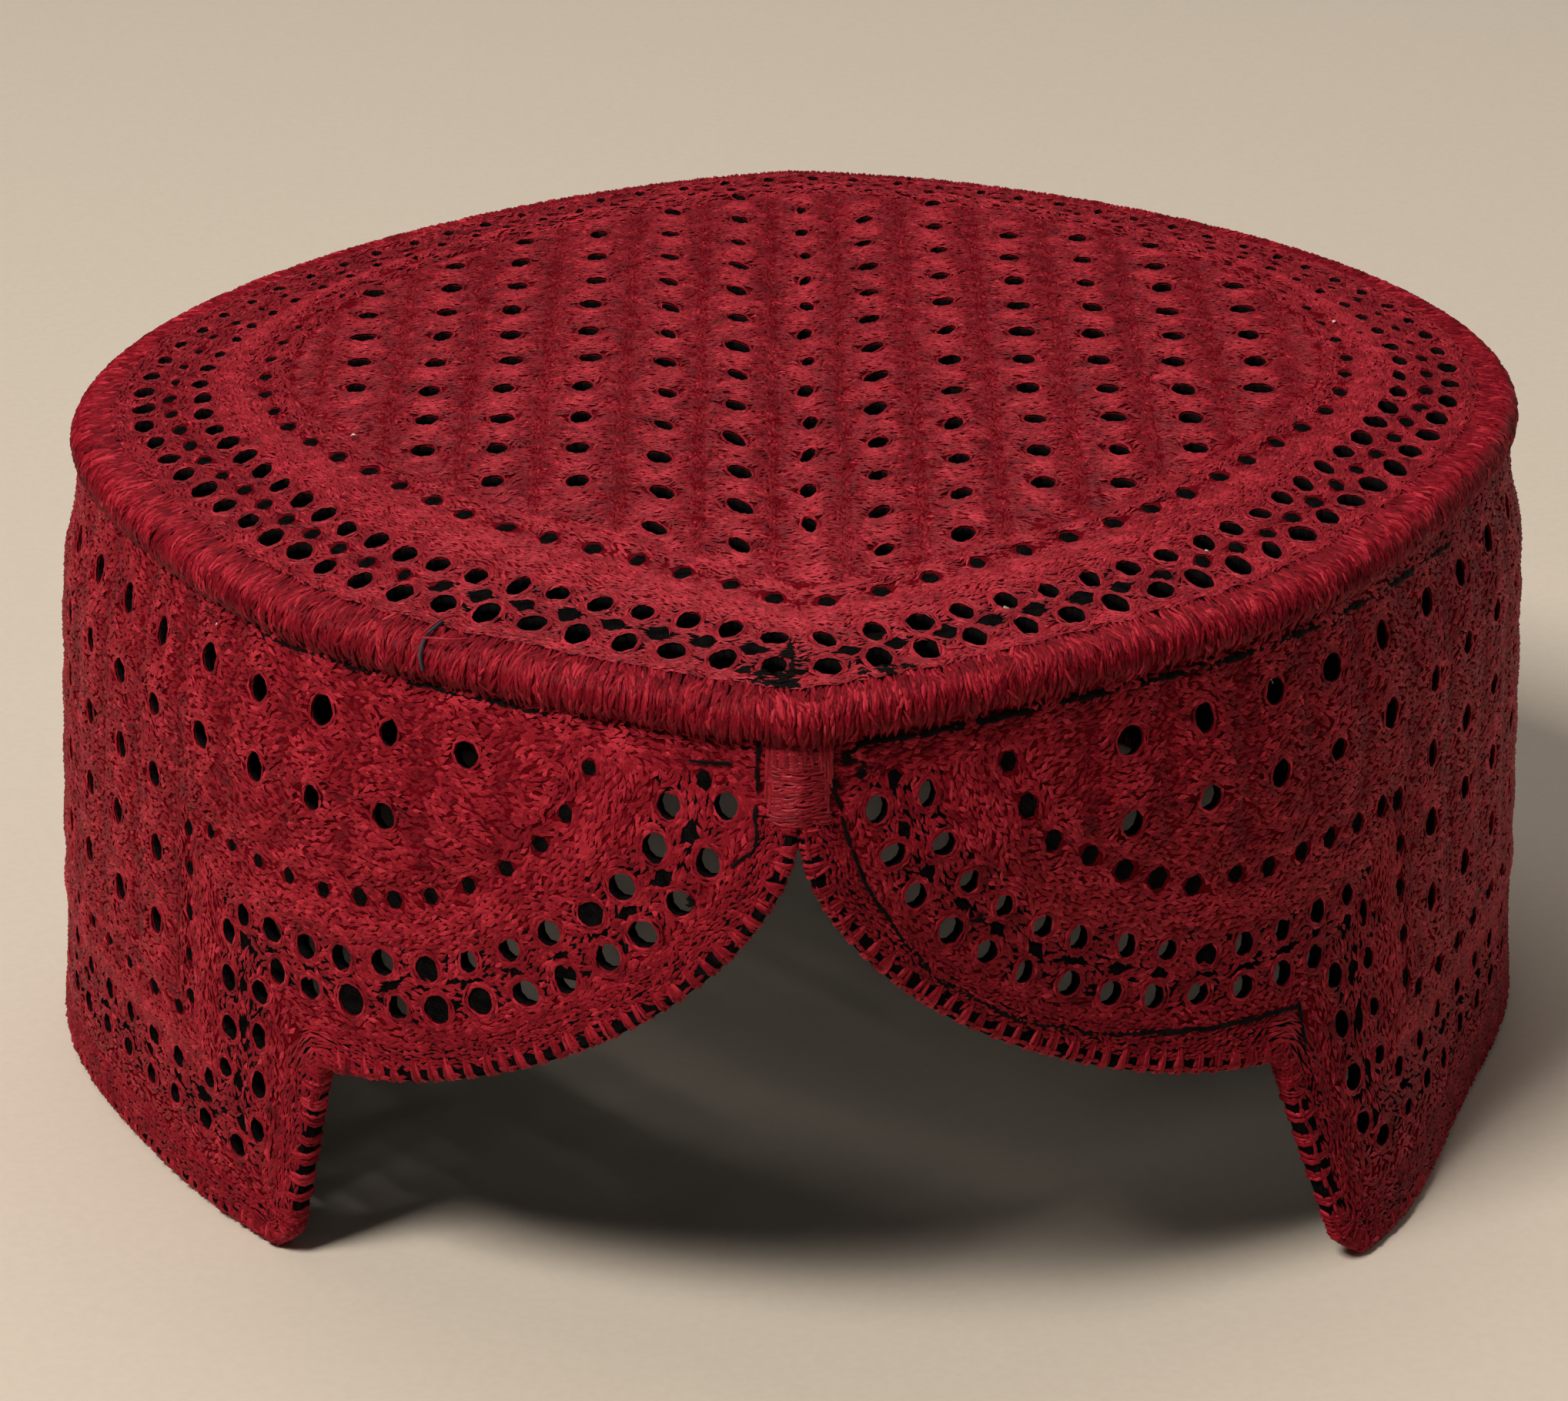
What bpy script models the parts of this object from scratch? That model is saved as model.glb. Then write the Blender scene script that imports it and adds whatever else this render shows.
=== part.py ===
"""Embroidered cap: a stiff cloth cap with an almond-shaped crown and an upright wall in two halves.

The front faces -Y, left and right are as seen by someone in front of the cap, and +Z is up.
The lower edge stands on Z = 0 and the crown's edge lies HEIGHT above it.

A place on the wall is given by its side (-1 left, 1 right), its run and its drop. The run is the
distance along the wall from the front centre line, measured at RUN_DROP, and the drop is the
depth below the crown's edge. All sizes are in millimetres and are turned into metres at the end.
"""

import math

import bmesh
import bpy
import numpy as np
from mathutils import Matrix

MM = 0.001

# Driving dimensions of the whole cap
HEIGHT = 82.0
CROWN_RISE = 2.5
CREASE_DEPTH = 0.6
CREASE_WIDTH = 3.0
LEAN = 2.5  # how far the crown stands to the right of the lower edge
CENTRE_Y = -1.36  # moves the cap so that its lower edge is centred from front to back
GAP = 0.3

# Cloth and cord
CROWN_THICKNESS = 1.8
WALL_THICKNESS = 2.0
EDGE_THICKNESS = 2.6
EDGE_WIDTH = 4.3
EDGE_ROUNDING = 0.6
CORD_RADIUS = 2.5
CORD_OUTSET = 2.4
CORD_DROP = 3.1

# Front notch, lobes, steps and tabs, as run and drop
NOTCH_TOP = 15.3
BAR_HALF_WIDTH = 3.5
BAR_BOTTOM = 13.0
LOBE_RUN = 62.0
LOBE_DROP = 56.0
LOBE_FULLNESS = 1.65
TAB_LEAN = 5.5
TAB_CORNER = 2.6

# The right tab is sprung outwards, most at its tip
TAB_FLARE = 9.7
FLARE_ANGLE = 40.0
FLARE_SPREAD = 21.0
FLARE_TOP = 35.0
FLARE_POWER = 1.5

# Half of the crown's outline, the same on both sides
PLAN = (  # angle from the front in degrees, radius of the crown's edge
    (0, 92.0),
    (20, 83.6),
    (40, 81.4),
    (65, 80.1),
    (90, 85.0),
    (115, 85.5),
    (145, 85.0),
    (180, 92.0),
)

# How far the wall's outer face stands outside the crown's edge
BULGE = (  # drop, outset
    (0.0, 0.0),
    (6.0, 3.5),
    (20.0, 6.4),
    (45.0, 7.3),
    (82.0, 8.5),
)
RUN_DROP = 50.0

# Eyelets cut through the solids: the larger ones, in the row nearest to each piece's edge
EYELETS = (  # piece, count, width, length
    ("crown", 84, 2.6, 4.4),
    ("wall", 17, 2.6, 3.4),
)
CUTTER_DEPTH = 9.0

# The crown's eyelets point to the back, leaning in a little, and are smaller there
CROWN_EYELET_LEAN = 0.18
CROWN_EYELET_SHARE = (  # y, share of the full size
    (-22, 1.0),
    (8, 0.78),
    (38, 0.55),
)

# How far inside the crown's edge its outer row of eyelets lies: less towards the back
CROWN_ROW_INSET = (  # angle from the front in degrees, inset
    (0, 4.6),
    (40, 4.2),
    (80, 3.8),
    (110, 3.2),
    (140, 2.6),
    (180, 2.3),
)

# The wall's outer row: a lobe-shaped arc, level past the step, then down beside the tab
ROW_START = (8.5, 10.0)
ROW_FULLNESS = 1.8
ROW_STEP_DROP = 46.3
ROW_TAB_RUN = 72.8
ROW_TAB_LEAN = 1.5
ROW_FOOT = 10.6

COLOURS = {  # red, green, blue, roughness
    "crown": (0.30, 0.014, 0.030, 0.55),
    "rim_cord": (0.36, 0.022, 0.042, 0.50),
    "wall": (0.28, 0.012, 0.028, 0.55),
    "edge": (0.22, 0.010, 0.020, 0.60),
    "front_bar": (0.36, 0.022, 0.042, 0.50),
}


def smooth_curve(table, x):
    """Natural cubic spline through the table's (x, y) rows, read at the values x."""
    knots, values = np.array(table, float).T
    step = np.diff(knots)
    slope = np.diff(values) / step
    matrix = np.eye(len(knots))
    right = np.zeros(len(knots))
    for row in range(1, len(knots) - 1):
        matrix[row, row - 1 : row + 2] = step[row - 1], 2 * (step[row - 1] + step[row]), step[row]
        right[row] = 6 * (slope[row] - slope[row - 1])
    bend = np.linalg.solve(matrix, right)
    x = np.asarray(x, float)
    k = np.clip(np.searchsorted(knots, x) - 1, 0, len(step) - 1)
    before, after, h = x - knots[k], knots[k + 1] - x, step[k]
    cubic = (bend[k] * after**3 + bend[k + 1] * before**3) / (6 * h)
    low = values[k] / h - bend[k] * h / 6
    high = values[k + 1] / h - bend[k + 1] * h / 6
    return cubic + low * after + high * before


def unit(vectors):
    """Vectors scaled to length one."""
    return vectors / np.linalg.norm(vectors, axis=-1, keepdims=True)


def lengths_along(path):
    """Distance along a path of points from its first point to each of them."""
    return np.concatenate([[0], np.cumsum(np.linalg.norm(np.diff(path, axis=0), axis=1))])


def flare(side, angle, drop):
    """How far the sprung right tab stands outside the rest of the wall."""
    if side < 0:
        return 0.0
    depth = np.clip((drop - FLARE_TOP) / (HEIGHT - FLARE_TOP), 0, 1) ** FLARE_POWER
    return TAB_FLARE * depth * np.exp(-(((angle - FLARE_ANGLE) / FLARE_SPREAD) ** 2))


def wall_point(side, angle, drop, outset=0.0):
    """A point of the wall's outer face, with angle in degrees from the front."""
    angle, drop = np.asarray(angle, float), np.asarray(drop, float)
    radius = smooth_curve(PLAN, angle) + np.interp(drop, *np.array(BULGE).T)
    radius = radius + flare(side, angle, drop) + outset
    turn = np.radians(angle)
    x = side * radius * np.sin(turn) + LEAN * (1 - drop / HEIGHT)
    y = -radius * np.cos(turn) + CENTRE_Y
    return np.stack(np.broadcast_arrays(x, y, HEIGHT - drop), axis=-1)


ANGLES = np.linspace(0, 180, 721)
RUNS = lengths_along(wall_point(-1, ANGLES, RUN_DROP))
BACK_RUN = RUNS[-1]


def on_wall(side, run, drop, outset=0.0):
    """A point of the wall's outer face, by run and drop."""
    return wall_point(side, np.interp(np.abs(run), RUNS, ANGLES), drop, outset)


def lobe_curve(start, end, fullness, count):
    """A quarter of a superellipse in (run, drop) rows, steep at its start and level at its end."""
    start, end = np.array(start, float), np.array(end, float)
    share = np.linspace(0, 1, count) ** 1.7
    drop = (1 - (1 - share) ** fullness) ** (1 / fullness)
    return start + (end - start) * np.column_stack([share, drop])


def lower_edge():
    """The wall's lower edge as (run, drop) rows, from under the bar to the back centre line."""
    start = GAP / 2
    step, tip = LOBE_RUN + start, LOBE_RUN + start + TAB_LEAN
    lobe = lobe_curve((start, NOTCH_TOP), (step, LOBE_DROP), LOBE_FULLNESS, 15)
    tab = [
        (step + TAB_LEAN / 2, (LOBE_DROP + HEIGHT) / 2),
        (tip - 0.2 * TAB_CORNER, HEIGHT - TAB_CORNER),
        (tip + TAB_CORNER, HEIGHT),
    ]
    level_run = np.linspace(tip + 11, BACK_RUN - start, 24)
    level = np.column_stack([level_run, np.full(24, HEIGHT)])
    return np.vstack([[(start, BAR_BOTTOM + GAP)], lobe, tab, level])


def inset(path, distance):
    """A (run, drop) path moved into the cloth, with its two ends kept on their own lines."""
    along = unit(np.diff(path, axis=0))
    inward = np.column_stack([along[:, 1], -along[:, 0]])
    before = np.vstack([inward[:1], inward])
    after = np.vstack([inward, inward[-1:]])
    mitre = before + after
    mitre /= np.sum(mitre * before, axis=1, keepdims=True)
    moved = path + distance * mitre
    moved[0, 1], moved[-1, 0] = path[0, 1], path[-1, 0]
    return moved


def mesh_from(name, points, faces):
    """A smooth mesh of points in millimetres, with all its faces turned the same way."""
    mesh = bpy.data.meshes.new(name)
    mesh.from_pydata((np.asarray(points) * MM).tolist(), [], [list(map(int, face)) for face in faces])
    work = bmesh.new()
    work.from_mesh(mesh)
    bmesh.ops.recalc_face_normals(work, faces=work.faces)
    work.to_mesh(mesh)
    work.free()
    mesh.shade_smooth()
    mesh.set_sharp_from_angle(angle=math.radians(35))
    return mesh


def slab(name, outer, inner):
    """A closed slab lofted from an outer to an inner grid of points (rows, columns, xyz).

    The inner face is moved level, not square to the cloth, so that the lower edge stays level.
    """
    rows, columns = outer.shape[:2]
    front = np.arange(rows * columns).reshape(rows, columns)
    back = front + rows * columns
    faces = []
    for layer in (front, back):
        quads = [layer[:-1, :-1], layer[:-1, 1:], layer[1:, 1:], layer[1:, :-1]]
        faces += np.stack(quads, axis=-1).reshape(-1, 4).tolist()
    rim = np.concatenate([front[0], front[1:, -1], front[-1, -2::-1], front[-2:0:-1, 0]])
    after = np.roll(rim, -1)
    faces += np.stack([rim, after, after + rows * columns, rim + rows * columns], axis=-1).tolist()
    return mesh_from(name, np.vstack([outer.reshape(-1, 3), inner.reshape(-1, 3)]), faces)


def swept_bar(name, sections):
    """A closed bar through sections (stations, corners, xyz), with a flat face at each end."""
    stations, corners = sections.shape[:2]
    index = np.arange(stations * corners).reshape(stations, corners)
    after = np.roll(index, -1, axis=1)
    sides = np.stack([index[:-1], after[:-1], after[1:], index[1:]], axis=-1).reshape(-1, 4)
    faces = sides.tolist() + [index[0].tolist(), index[-1].tolist()]
    return mesh_from(name, sections.reshape(-1, 3), faces)


def cloth_material(name, colour_name):
    """Dull satin thread in the piece's own red."""
    red, green, blue, roughness = COLOURS[colour_name]
    material = bpy.data.materials.new(name)
    material.use_nodes = True
    shader = material.node_tree.nodes["Principled BSDF"]
    shader.inputs["Base Color"].default_value = (red, green, blue, 1)
    shader.inputs["Roughness"].default_value = roughness
    shader.inputs["Metallic"].default_value = 0.0
    return material


def add_piece(name, data, collection, colour_name):
    """Places a mesh or a curve in the cap's collection with a material of its own."""
    obj = bpy.data.objects.new(name, data)
    collection.objects.link(obj)
    obj.data.materials.append(cloth_material(name, colour_name))
    return obj


def round_the_cap(count):
    """Evenly turned stations: the side and the angle from the front of each."""
    turn = np.linspace(0, 360, count, endpoint=False)
    return np.where(turn > 180, -1, 1), np.where(turn > 180, 360 - turn, turn)


def crown_point(side, angle, share):
    """A point of the crown's upper face: a low dome with a shallow crease from front to back."""
    radius = (smooth_curve(PLAN, angle) - 0.1) * share
    x = side * radius * np.sin(np.radians(angle))
    y = -radius * np.cos(np.radians(angle))
    rise = CROWN_RISE - CREASE_DEPTH * np.exp(-((x / CREASE_WIDTH) ** 2))
    z = HEIGHT + rise * (1 - share**2)
    return np.stack(np.broadcast_arrays(x + LEAN, y + CENTRE_Y, z), axis=-1)


def make_crown(collection):
    """The almond-shaped top: rings about its middle, given their thickness downwards."""
    side, angle = round_the_cap(72)
    rings = [crown_point(side, angle, share) for share in (1.0, 0.8, 0.55, 0.28)]
    middle = crown_point(1, 0.0, 0.0)
    count = len(angle)
    index = np.arange(len(rings) * count).reshape(len(rings), count)
    after = np.roll(index, -1, axis=1)
    quads = np.stack([index[:-1], after[:-1], after[1:], index[1:]], axis=-1).reshape(-1, 4)
    hub = [[a, b, index.size] for a, b in zip(index[-1], after[-1])]
    mesh = mesh_from("crown", np.vstack(rings + [middle]), quads.tolist() + hub)
    if mesh.polygons[0].normal.z < 0:
        mesh.flip_normals()
    crown = add_piece("crown", mesh, collection, "crown")
    solid = crown.modifiers.new("Thickness", "SOLIDIFY")
    solid.thickness = CROWN_THICKNESS * MM
    solid.offset = -1.0
    return crown


def make_rim_cord(collection):
    """The overcast roll: a closed tube that follows the crown's edge."""
    side, angle = round_the_cap(72)
    radius = smooth_curve(PLAN, angle) + CORD_OUTSET
    x = side * radius * np.sin(np.radians(angle)) + LEAN * (1 - CORD_DROP / HEIGHT)
    y = -radius * np.cos(np.radians(angle)) + CENTRE_Y

    curve = bpy.data.curves.new("rim_cord", "CURVE")
    curve.dimensions = "3D"
    curve.bevel_depth = CORD_RADIUS * MM
    curve.bevel_resolution = 2
    spline = curve.splines.new("POLY")
    spline.points.add(len(angle) - 1)
    for point, px, py in zip(spline.points, x, y):
        point.co = (px * MM, py * MM, (HEIGHT - CORD_DROP) * MM, 1)
    spline.use_cyclic_u = True
    return add_piece("rim_cord", curve, collection, "rim_cord")


def make_wall(name, side, collection):
    """Half of the wall, from under the rim cord down to the inner side of its edge binding."""
    top = CORD_DROP + CORD_RADIUS + GAP
    foot = inset(lower_edge(), EDGE_WIDTH + GAP)
    front = [(BAR_HALF_WIDTH + GAP, BAR_BOTTOM), (foot[0, 0], BAR_BOTTOM)]
    foot = np.vstack([front, foot[2:]])
    drop = top + (foot[:, 1] - top) * np.linspace(0, 1, 7)[:, None]
    run = np.broadcast_to(foot[:, 0], drop.shape)
    mesh = slab(name, on_wall(side, run, drop), on_wall(side, run, drop, -WALL_THICKNESS))
    return add_piece(name, mesh, collection, "wall")


def make_edge(name, side, collection):
    """The folded binding along the wall's lower edge: a flat bar with rounded long edges."""
    outer = lower_edge()
    proud = (EDGE_THICKNESS - WALL_THICKNESS) / 2
    high, low, cut = proud, proud - EDGE_THICKNESS, EDGE_ROUNDING
    profile = (  # distance inside the edge, outset
        (0, high - cut),
        (cut, high),
        (EDGE_WIDTH - cut, high),
        (EDGE_WIDTH, high - cut),
        (EDGE_WIDTH, low + cut),
        (EDGE_WIDTH - cut, low),
        (cut, low),
        (0, low + cut),
    )
    corners = []
    for distance, outset in profile:
        run, drop = inset(outer, distance).T
        corners.append(on_wall(side, run, drop, outset))
    return add_piece(name, swept_bar(name, np.stack(corners, axis=1)), collection, "edge")


def make_front_bar(collection):
    """The short satin bar that spans the two lobes above the notch, bent over the front corner."""
    proud = (EDGE_THICKNESS - WALL_THICKNESS) / 2
    runs = np.linspace(-BAR_HALF_WIDTH, BAR_HALF_WIDTH, 7)
    drops = np.linspace(CORD_DROP + CORD_RADIUS + GAP, BAR_BOTTOM, 5)
    run, drop = np.meshgrid(runs, drops)
    faces = []
    for outset in (proud, proud - EDGE_THICKNESS):
        halves = [on_wall(side, run, drop, outset) for side in (-1, 1)]
        faces.append(np.where(run[..., None] < 0, *halves))
    return add_piece("front_bar", slab("front_bar", *faces), collection, "front_bar")


def cut_eyelets(obj, places, collection):
    """Cuts one eyelet through the piece at each place, with a six-sided oval bar.

    A place is (centre, normal, upward, width, length), and the length lies along upward.
    """
    work = bmesh.new()
    for centre, normal, upward, width, length in places:
        across = np.cross(upward, normal) * width / 2
        axes = np.column_stack([across, upward * length / 2, normal * CUTTER_DEPTH]) * MM
        place = Matrix.Translation(centre * MM) @ Matrix(axes.tolist()).to_4x4()
        bmesh.ops.create_cone(
            work, cap_ends=True, segments=6, radius1=1, radius2=1, depth=1, matrix=place
        )
    mesh = bpy.data.meshes.new(obj.name + "_eyelets")
    work.to_mesh(mesh)
    work.free()
    cutter = bpy.data.objects.new(mesh.name, mesh)
    cutter.hide_render = True
    cutter.display_type = "WIRE"
    collection.objects.link(cutter)
    cut = obj.modifiers.new("Eyelets", "BOOLEAN")
    cut.operation = "DIFFERENCE"
    cut.object = cutter


def spread(path, count):
    """Evenly spaced places along a path, half a step in from each end."""
    length = lengths_along(path)
    at = (np.arange(count) + 0.5) / count * length[-1]
    return np.column_stack([np.interp(at, length, values) for values in path.T])


def crown_eyelets(count, width, length):
    """Places on a ring inside the crown's edge, with the length of each towards the back."""
    angle = np.linspace(0, 180, 361)
    radius = smooth_curve(PLAN, angle) - smooth_curve(CROWN_ROW_INSET, angle)
    turn = np.radians(angle)
    path = np.column_stack([radius * np.sin(turn), -radius * np.cos(turn)])
    rows, shares = np.transpose(CROWN_EYELET_SHARE)
    places = []
    for side in (-1, 1):
        along = unit(np.array([-side * CROWN_EYELET_LEAN, 1.0, 0.0]))
        for x, y in spread(path, count // 2):
            centre = np.array([side * x + LEAN, y + CENTRE_Y, HEIGHT])
            share = np.interp(y, rows, shares)
            places.append((centre, np.array([0.0, 0.0, 1.0]), along, width * share, length * share))
    return places


def outer_row():
    """The wall's outer row of eyelets as (run, drop) rows, from beside the bar to the tab's foot."""
    lobe = lobe_curve(ROW_START, (LOBE_RUN, ROW_STEP_DROP), ROW_FULLNESS, 40)
    tab = [(ROW_TAB_RUN, ROW_STEP_DROP), (ROW_TAB_RUN + ROW_TAB_LEAN, HEIGHT - ROW_FOOT)]
    return np.vstack([lobe, tab])


def wall_eyelets(side, count, width, length):
    """Places along the outer row of one half of the wall, with each eyelet's length upright."""
    run, drop = spread(outer_row(), count).T
    along = unit(on_wall(side, run + 0.5, drop) - on_wall(side, run - 0.5, drop))
    upward = unit(on_wall(side, run, drop - 0.5) - on_wall(side, run, drop + 0.5))
    normal = unit(np.cross(along, upward))
    upward = np.cross(normal, along)
    centre = on_wall(side, run, drop)
    return [(c, n, u, width, length) for c, n, u in zip(centre, normal, upward)]


def main():
    for obj in list(bpy.data.objects):
        bpy.data.objects.remove(obj)
    cap = bpy.data.collections.new("embroidered_cap")
    cutters = bpy.data.collections.new("cutters")
    for collection in (cap, cutters):
        bpy.context.scene.collection.children.link(collection)

    crown = make_crown(cap)
    make_rim_cord(cap)
    walls = {-1: make_wall("wall_left", -1, cap), 1: make_wall("wall_right", 1, cap)}
    make_edge("edge_left", -1, cap)
    make_edge("edge_right", 1, cap)
    make_front_bar(cap)

    sizes = {piece: values for piece, *values in EYELETS}
    cut_eyelets(crown, crown_eyelets(*sizes["crown"]), cutters)
    for side, wall in walls.items():
        cut_eyelets(wall, wall_eyelets(side, *sizes["wall"]), cutters)


main()
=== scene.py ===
"""Embroidered cap: crimson stitching, black cloth and bound edges, laid over the cap's solids.

The front faces -Y, left and right are as seen by someone in front of the cap, and +Z is up. Sizes
are in millimetres and are turned into metres as each mesh is made. Colours are linear.

A place on the crown is (x, y) from the crown's centre. A place on the wall is (run, level): the run
is the distance along the wall from the front centre line, below zero on the left half, and the level
is the depth below the crown's edge with a minus sign. The tables give that depth, called drop.
"""

import math

import bpy
import numpy as np
from mathutils import Matrix
from mathutils.geometry import delaunay_2d_cdt


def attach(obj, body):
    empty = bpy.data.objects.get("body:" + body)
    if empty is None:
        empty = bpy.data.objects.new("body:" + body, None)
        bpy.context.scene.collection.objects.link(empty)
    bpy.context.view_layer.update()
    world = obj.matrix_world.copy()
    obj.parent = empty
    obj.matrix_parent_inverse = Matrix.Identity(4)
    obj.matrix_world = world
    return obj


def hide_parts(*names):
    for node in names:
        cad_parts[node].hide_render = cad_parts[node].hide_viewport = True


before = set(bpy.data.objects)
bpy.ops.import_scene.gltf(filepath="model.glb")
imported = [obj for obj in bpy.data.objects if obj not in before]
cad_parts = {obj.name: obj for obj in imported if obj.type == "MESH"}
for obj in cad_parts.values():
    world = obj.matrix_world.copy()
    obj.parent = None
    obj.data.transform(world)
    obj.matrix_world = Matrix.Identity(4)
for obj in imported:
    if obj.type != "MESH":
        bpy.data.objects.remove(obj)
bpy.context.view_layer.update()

MM = 0.001
RANDOM = np.random.default_rng(1867)

# The cap's form, as in its solids
HEIGHT = 82.0
CROWN_RISE = 2.5
CREASE_DEPTH = 0.6
CREASE_WIDTH = 3.0
LEAN = 2.5
CENTRE_Y = -1.36
EDGE_WIDTH = 4.3
CORD_OUTSET = 2.4
CORD_DROP = 3.1
NOTCH_TOP = 15.3
BAR_BOTTOM = 13.0
GAP = 0.3
LOBE_RUN = 62.0
LOBE_DROP = 56.0
LOBE_FULLNESS = 1.65
TAB_LEAN = 5.5
TAB_CORNER = 2.6
TAB_FLARE = 9.7
FLARE_ANGLE = 40.0
FLARE_SPREAD = 21.0
FLARE_TOP = 35.0
FLARE_POWER = 1.5

PLAN = (  # angle from the front in degrees, radius of the crown's edge
    (0, 92.0),
    (20, 83.6),
    (40, 81.4),
    (65, 80.1),
    (90, 85.0),
    (115, 85.5),
    (145, 85.0),
    (180, 92.0),
)
BULGE = (  # drop, outset of the wall's outer face from the crown's edge
    (0.0, 0.0),
    (6.0, 3.5),
    (20.0, 6.4),
    (45.0, 7.3),
    (82.0, 8.5),
)
RUN_DROP = 50.0

# Thread sizes: length and width of a stitch, and the spacing of the rows it lies in
CROWN_STITCH = (1.7, 0.44, 0.27)
WALL_STITCH = (1.7, 0.60, 0.40)
STITCH_HEIGHT = 0.12
STITCH_SINK = 0.04
STITCH_STEP = 0.62

# Eyelet rows that follow the wall's lower edge, and the limits of the stitching between them
ROWS = (  # start run, start drop, step drop, tab run, tab lean, height above the foot
    (4.6, 13.3, 51.5, 67.5, 3.8, 4.6),
    (8.5, 10.0, 46.3, 72.8, 1.5, 10.6),
    (11.5, 10.0, 43.8, 76.5, 1.2, 13.5),
    (15.0, 10.0, 41.2, 79.8, 0.8, 16.4),
    (25.5, 9.0, 33.0, 89.5, 0.0, 22.6),
    (28.5, 9.0, 30.0, 92.6, 0.0, 25.4),
)
OUTER_ROW, SMALL_ROW, INNER_ROW, FIELD_ROW = 1, 2, 3, 5
ROW_FULLNESS = 1.8
LOWEST_ROW = -0.6
EDGE_ROW_PITCH = 4.0
ROW_HALVINGS = 14
ROW_BANDS = (4.0, 3.0, 3.4, 9.0, 3.0)  # depth of the stitching from each row to the next
BLACK_BAND = (0.75, 3.2)  # rows, or rings, between which the cloth under the stitches is black
BAND_TOP = 5.0
BAND_FOOT = 10.2
FRONT_LENGTH = 110.0

# Rings of eyelets inside the crown's edge, by angle from the front: how far in each one lies
RINGS = (  # angle, outer, small, inner, closed, start of the field
    (0, 4.6, 8.2, 12.0, 22.3, 27.5),
    (40, 4.2, 7.9, 11.6, 23.3, 28.0),
    (80, 3.8, 7.3, 11.0, 19.2, 23.8),
    (110, 3.2, 6.0, 8.9, 15.2, 18.4),
    (125, 2.9, 5.2, 7.6, 12.0, 14.6),
    (140, 2.6, 4.5, 6.4, 9.8, 12.0),
    (180, 2.3, 4.0, 5.6, 8.4, 10.4),
)
OUTER_RING, INNER_RING, FIELD_RING = 1, 3, 5
RING_SHIFT = 0.08
RING_SLOPE = 8.0
RING_EYELETS = (  # ring, eyelets on each half, width, length, shift along the ring in eyelets
    (1, 42, 3.1, 5.0, 0.50),
    (2, 42, 2.0, 3.4, 0.95),
    (3, 42, 2.9, 4.6, 0.50),
    (4, 33, 2.3, 3.2, 0.50),
)

# Columns of eyelets on the crown's field
COLUMNS = (  # column, x, first y, last y, eyelets
    (-6, -54.8, 3.0, 41.3, 5),
    (-5, -45.0, -20.1, 51.6, 8),
    (-4, -36.0, -31.0, 61.6, 10),
    (-3, -26.0, -32.2, 63.7, 10),
    (-2, -16.1, -47.6, 73.6, 12),
    (-1, -7.0, -53.1, 79.6, 13),
    (0, 1.6, -47.0, 73.0, 12),
    (1, 10.0, -55.2, 67.2, 12),
    (2, 19.5, -50.6, 75.0, 12),
    (3, 29.1, -35.6, 59.5, 10),
    (4, 38.6, -35.0, 58.3, 10),
    (5, 48.1, -23.5, 55.1, 9),
    (6, 57.9, -3.6, 37.2, 5),
)
COLUMN_EYELETS = {  # column: width, length, turn; the others have the last one
    -2: (2.5, 4.4, 0.45),
    -1: (2.3, 5.1, 0.38),
    0: (1.9, 4.5, 0.0),
    1: (2.5, 4.5, -0.42),
    2: (2.6, 4.0, -0.35),
    None: (3.05, 3.9, 0.0),
}
COLUMN_STEP = 9.4
FIELD_BOX = ((-66, -74), (70, 84))  # lowest and highest x and y of the stitching

# Columns of eyelets on each half of the wall
FRONT_COLUMNS = (42.2, 53.2, 64.2, 75.0, 86.6)
FRONT_STEP = 11.0
FRONT_END = 92.0
FRONT_DROPS = (12.3, 21.8)
SIDE_COLUMN = 98.8
SIDE_STEP = 11.4
SIDE_DROPS = (12.3, 21.8, 31.2, 40.6, 50.0)
WALL_EYELETS = (  # row, eyelets beside the lobe and tab, eyelets along the foot, left and right size
    (1, 17, 29, 3.40, 3.20),
    (2, 17, 28, 1.95, 1.90),
    (3, 17, 28, 3.25, 2.90),
    (4, 18, 28, 2.25, 2.65),
)
FIELD_EYELETS = (3.40, 3.35)
UPRIGHT = 1.03

# Marks on the wall and the crown where black cloth or thread shows between the stitches
WALL_LINES = (  # side, width, (run, drop) of each corner
    (-1, 0.50, ((31, 6.1), (55, 5.9), (76, 6.3))),
    (-1, 0.45, ((4.8, 5.5), (4.9, 13), (4.9, 17), (8.0, 19.6))),
    (-1, 0.40, ((8.4, 8.2), (13.3, 8.1))),
    (1, 0.75, ((7, 6.0), (40, 6.3), (80, 6.9), (110, 8.2))),
    (1, 0.45, ((3.7, 9.1), (5.2, 14.5), (7.4, 20.9), (12.4, 29.3), (17.2, 35.2))),
    (1, 0.55, ((17.2, 35.2), (27.3, 42.3), (37.6, 46.5), (53.5, 49.7), (65.6, 50.8))),
    (1, 0.55, ((65.9, 50.6), (66.3, 56.4))),
)
WALL_PATCHES = (  # side, run, drop, reach
    (1, 5.6, 7.3, 1.1),
    (1, 7.6, 8.9, 0.9),
    (1, 3.9, 10.1, 0.8),
    (-1, 12.6, 24.0, 0.6),
    (1, 22.0, 28.5, 0.8),
)
CROWN_PATCHES = (  # x, y, reach
    (-6.0, -87.2, 1.0),
    (-4.2, -88.4, 1.2),
    (-2.0, -89.0, 1.4),
    (-1.2, -83.5, 0.8),
    (6.8, -88.0, 0.9),
    (9.6, -87.6, 1.1),
    (12.0, -86.6, 0.8),
)
SLIT = ((-1.0, -79.0), (-0.9, -91.2))
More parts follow.
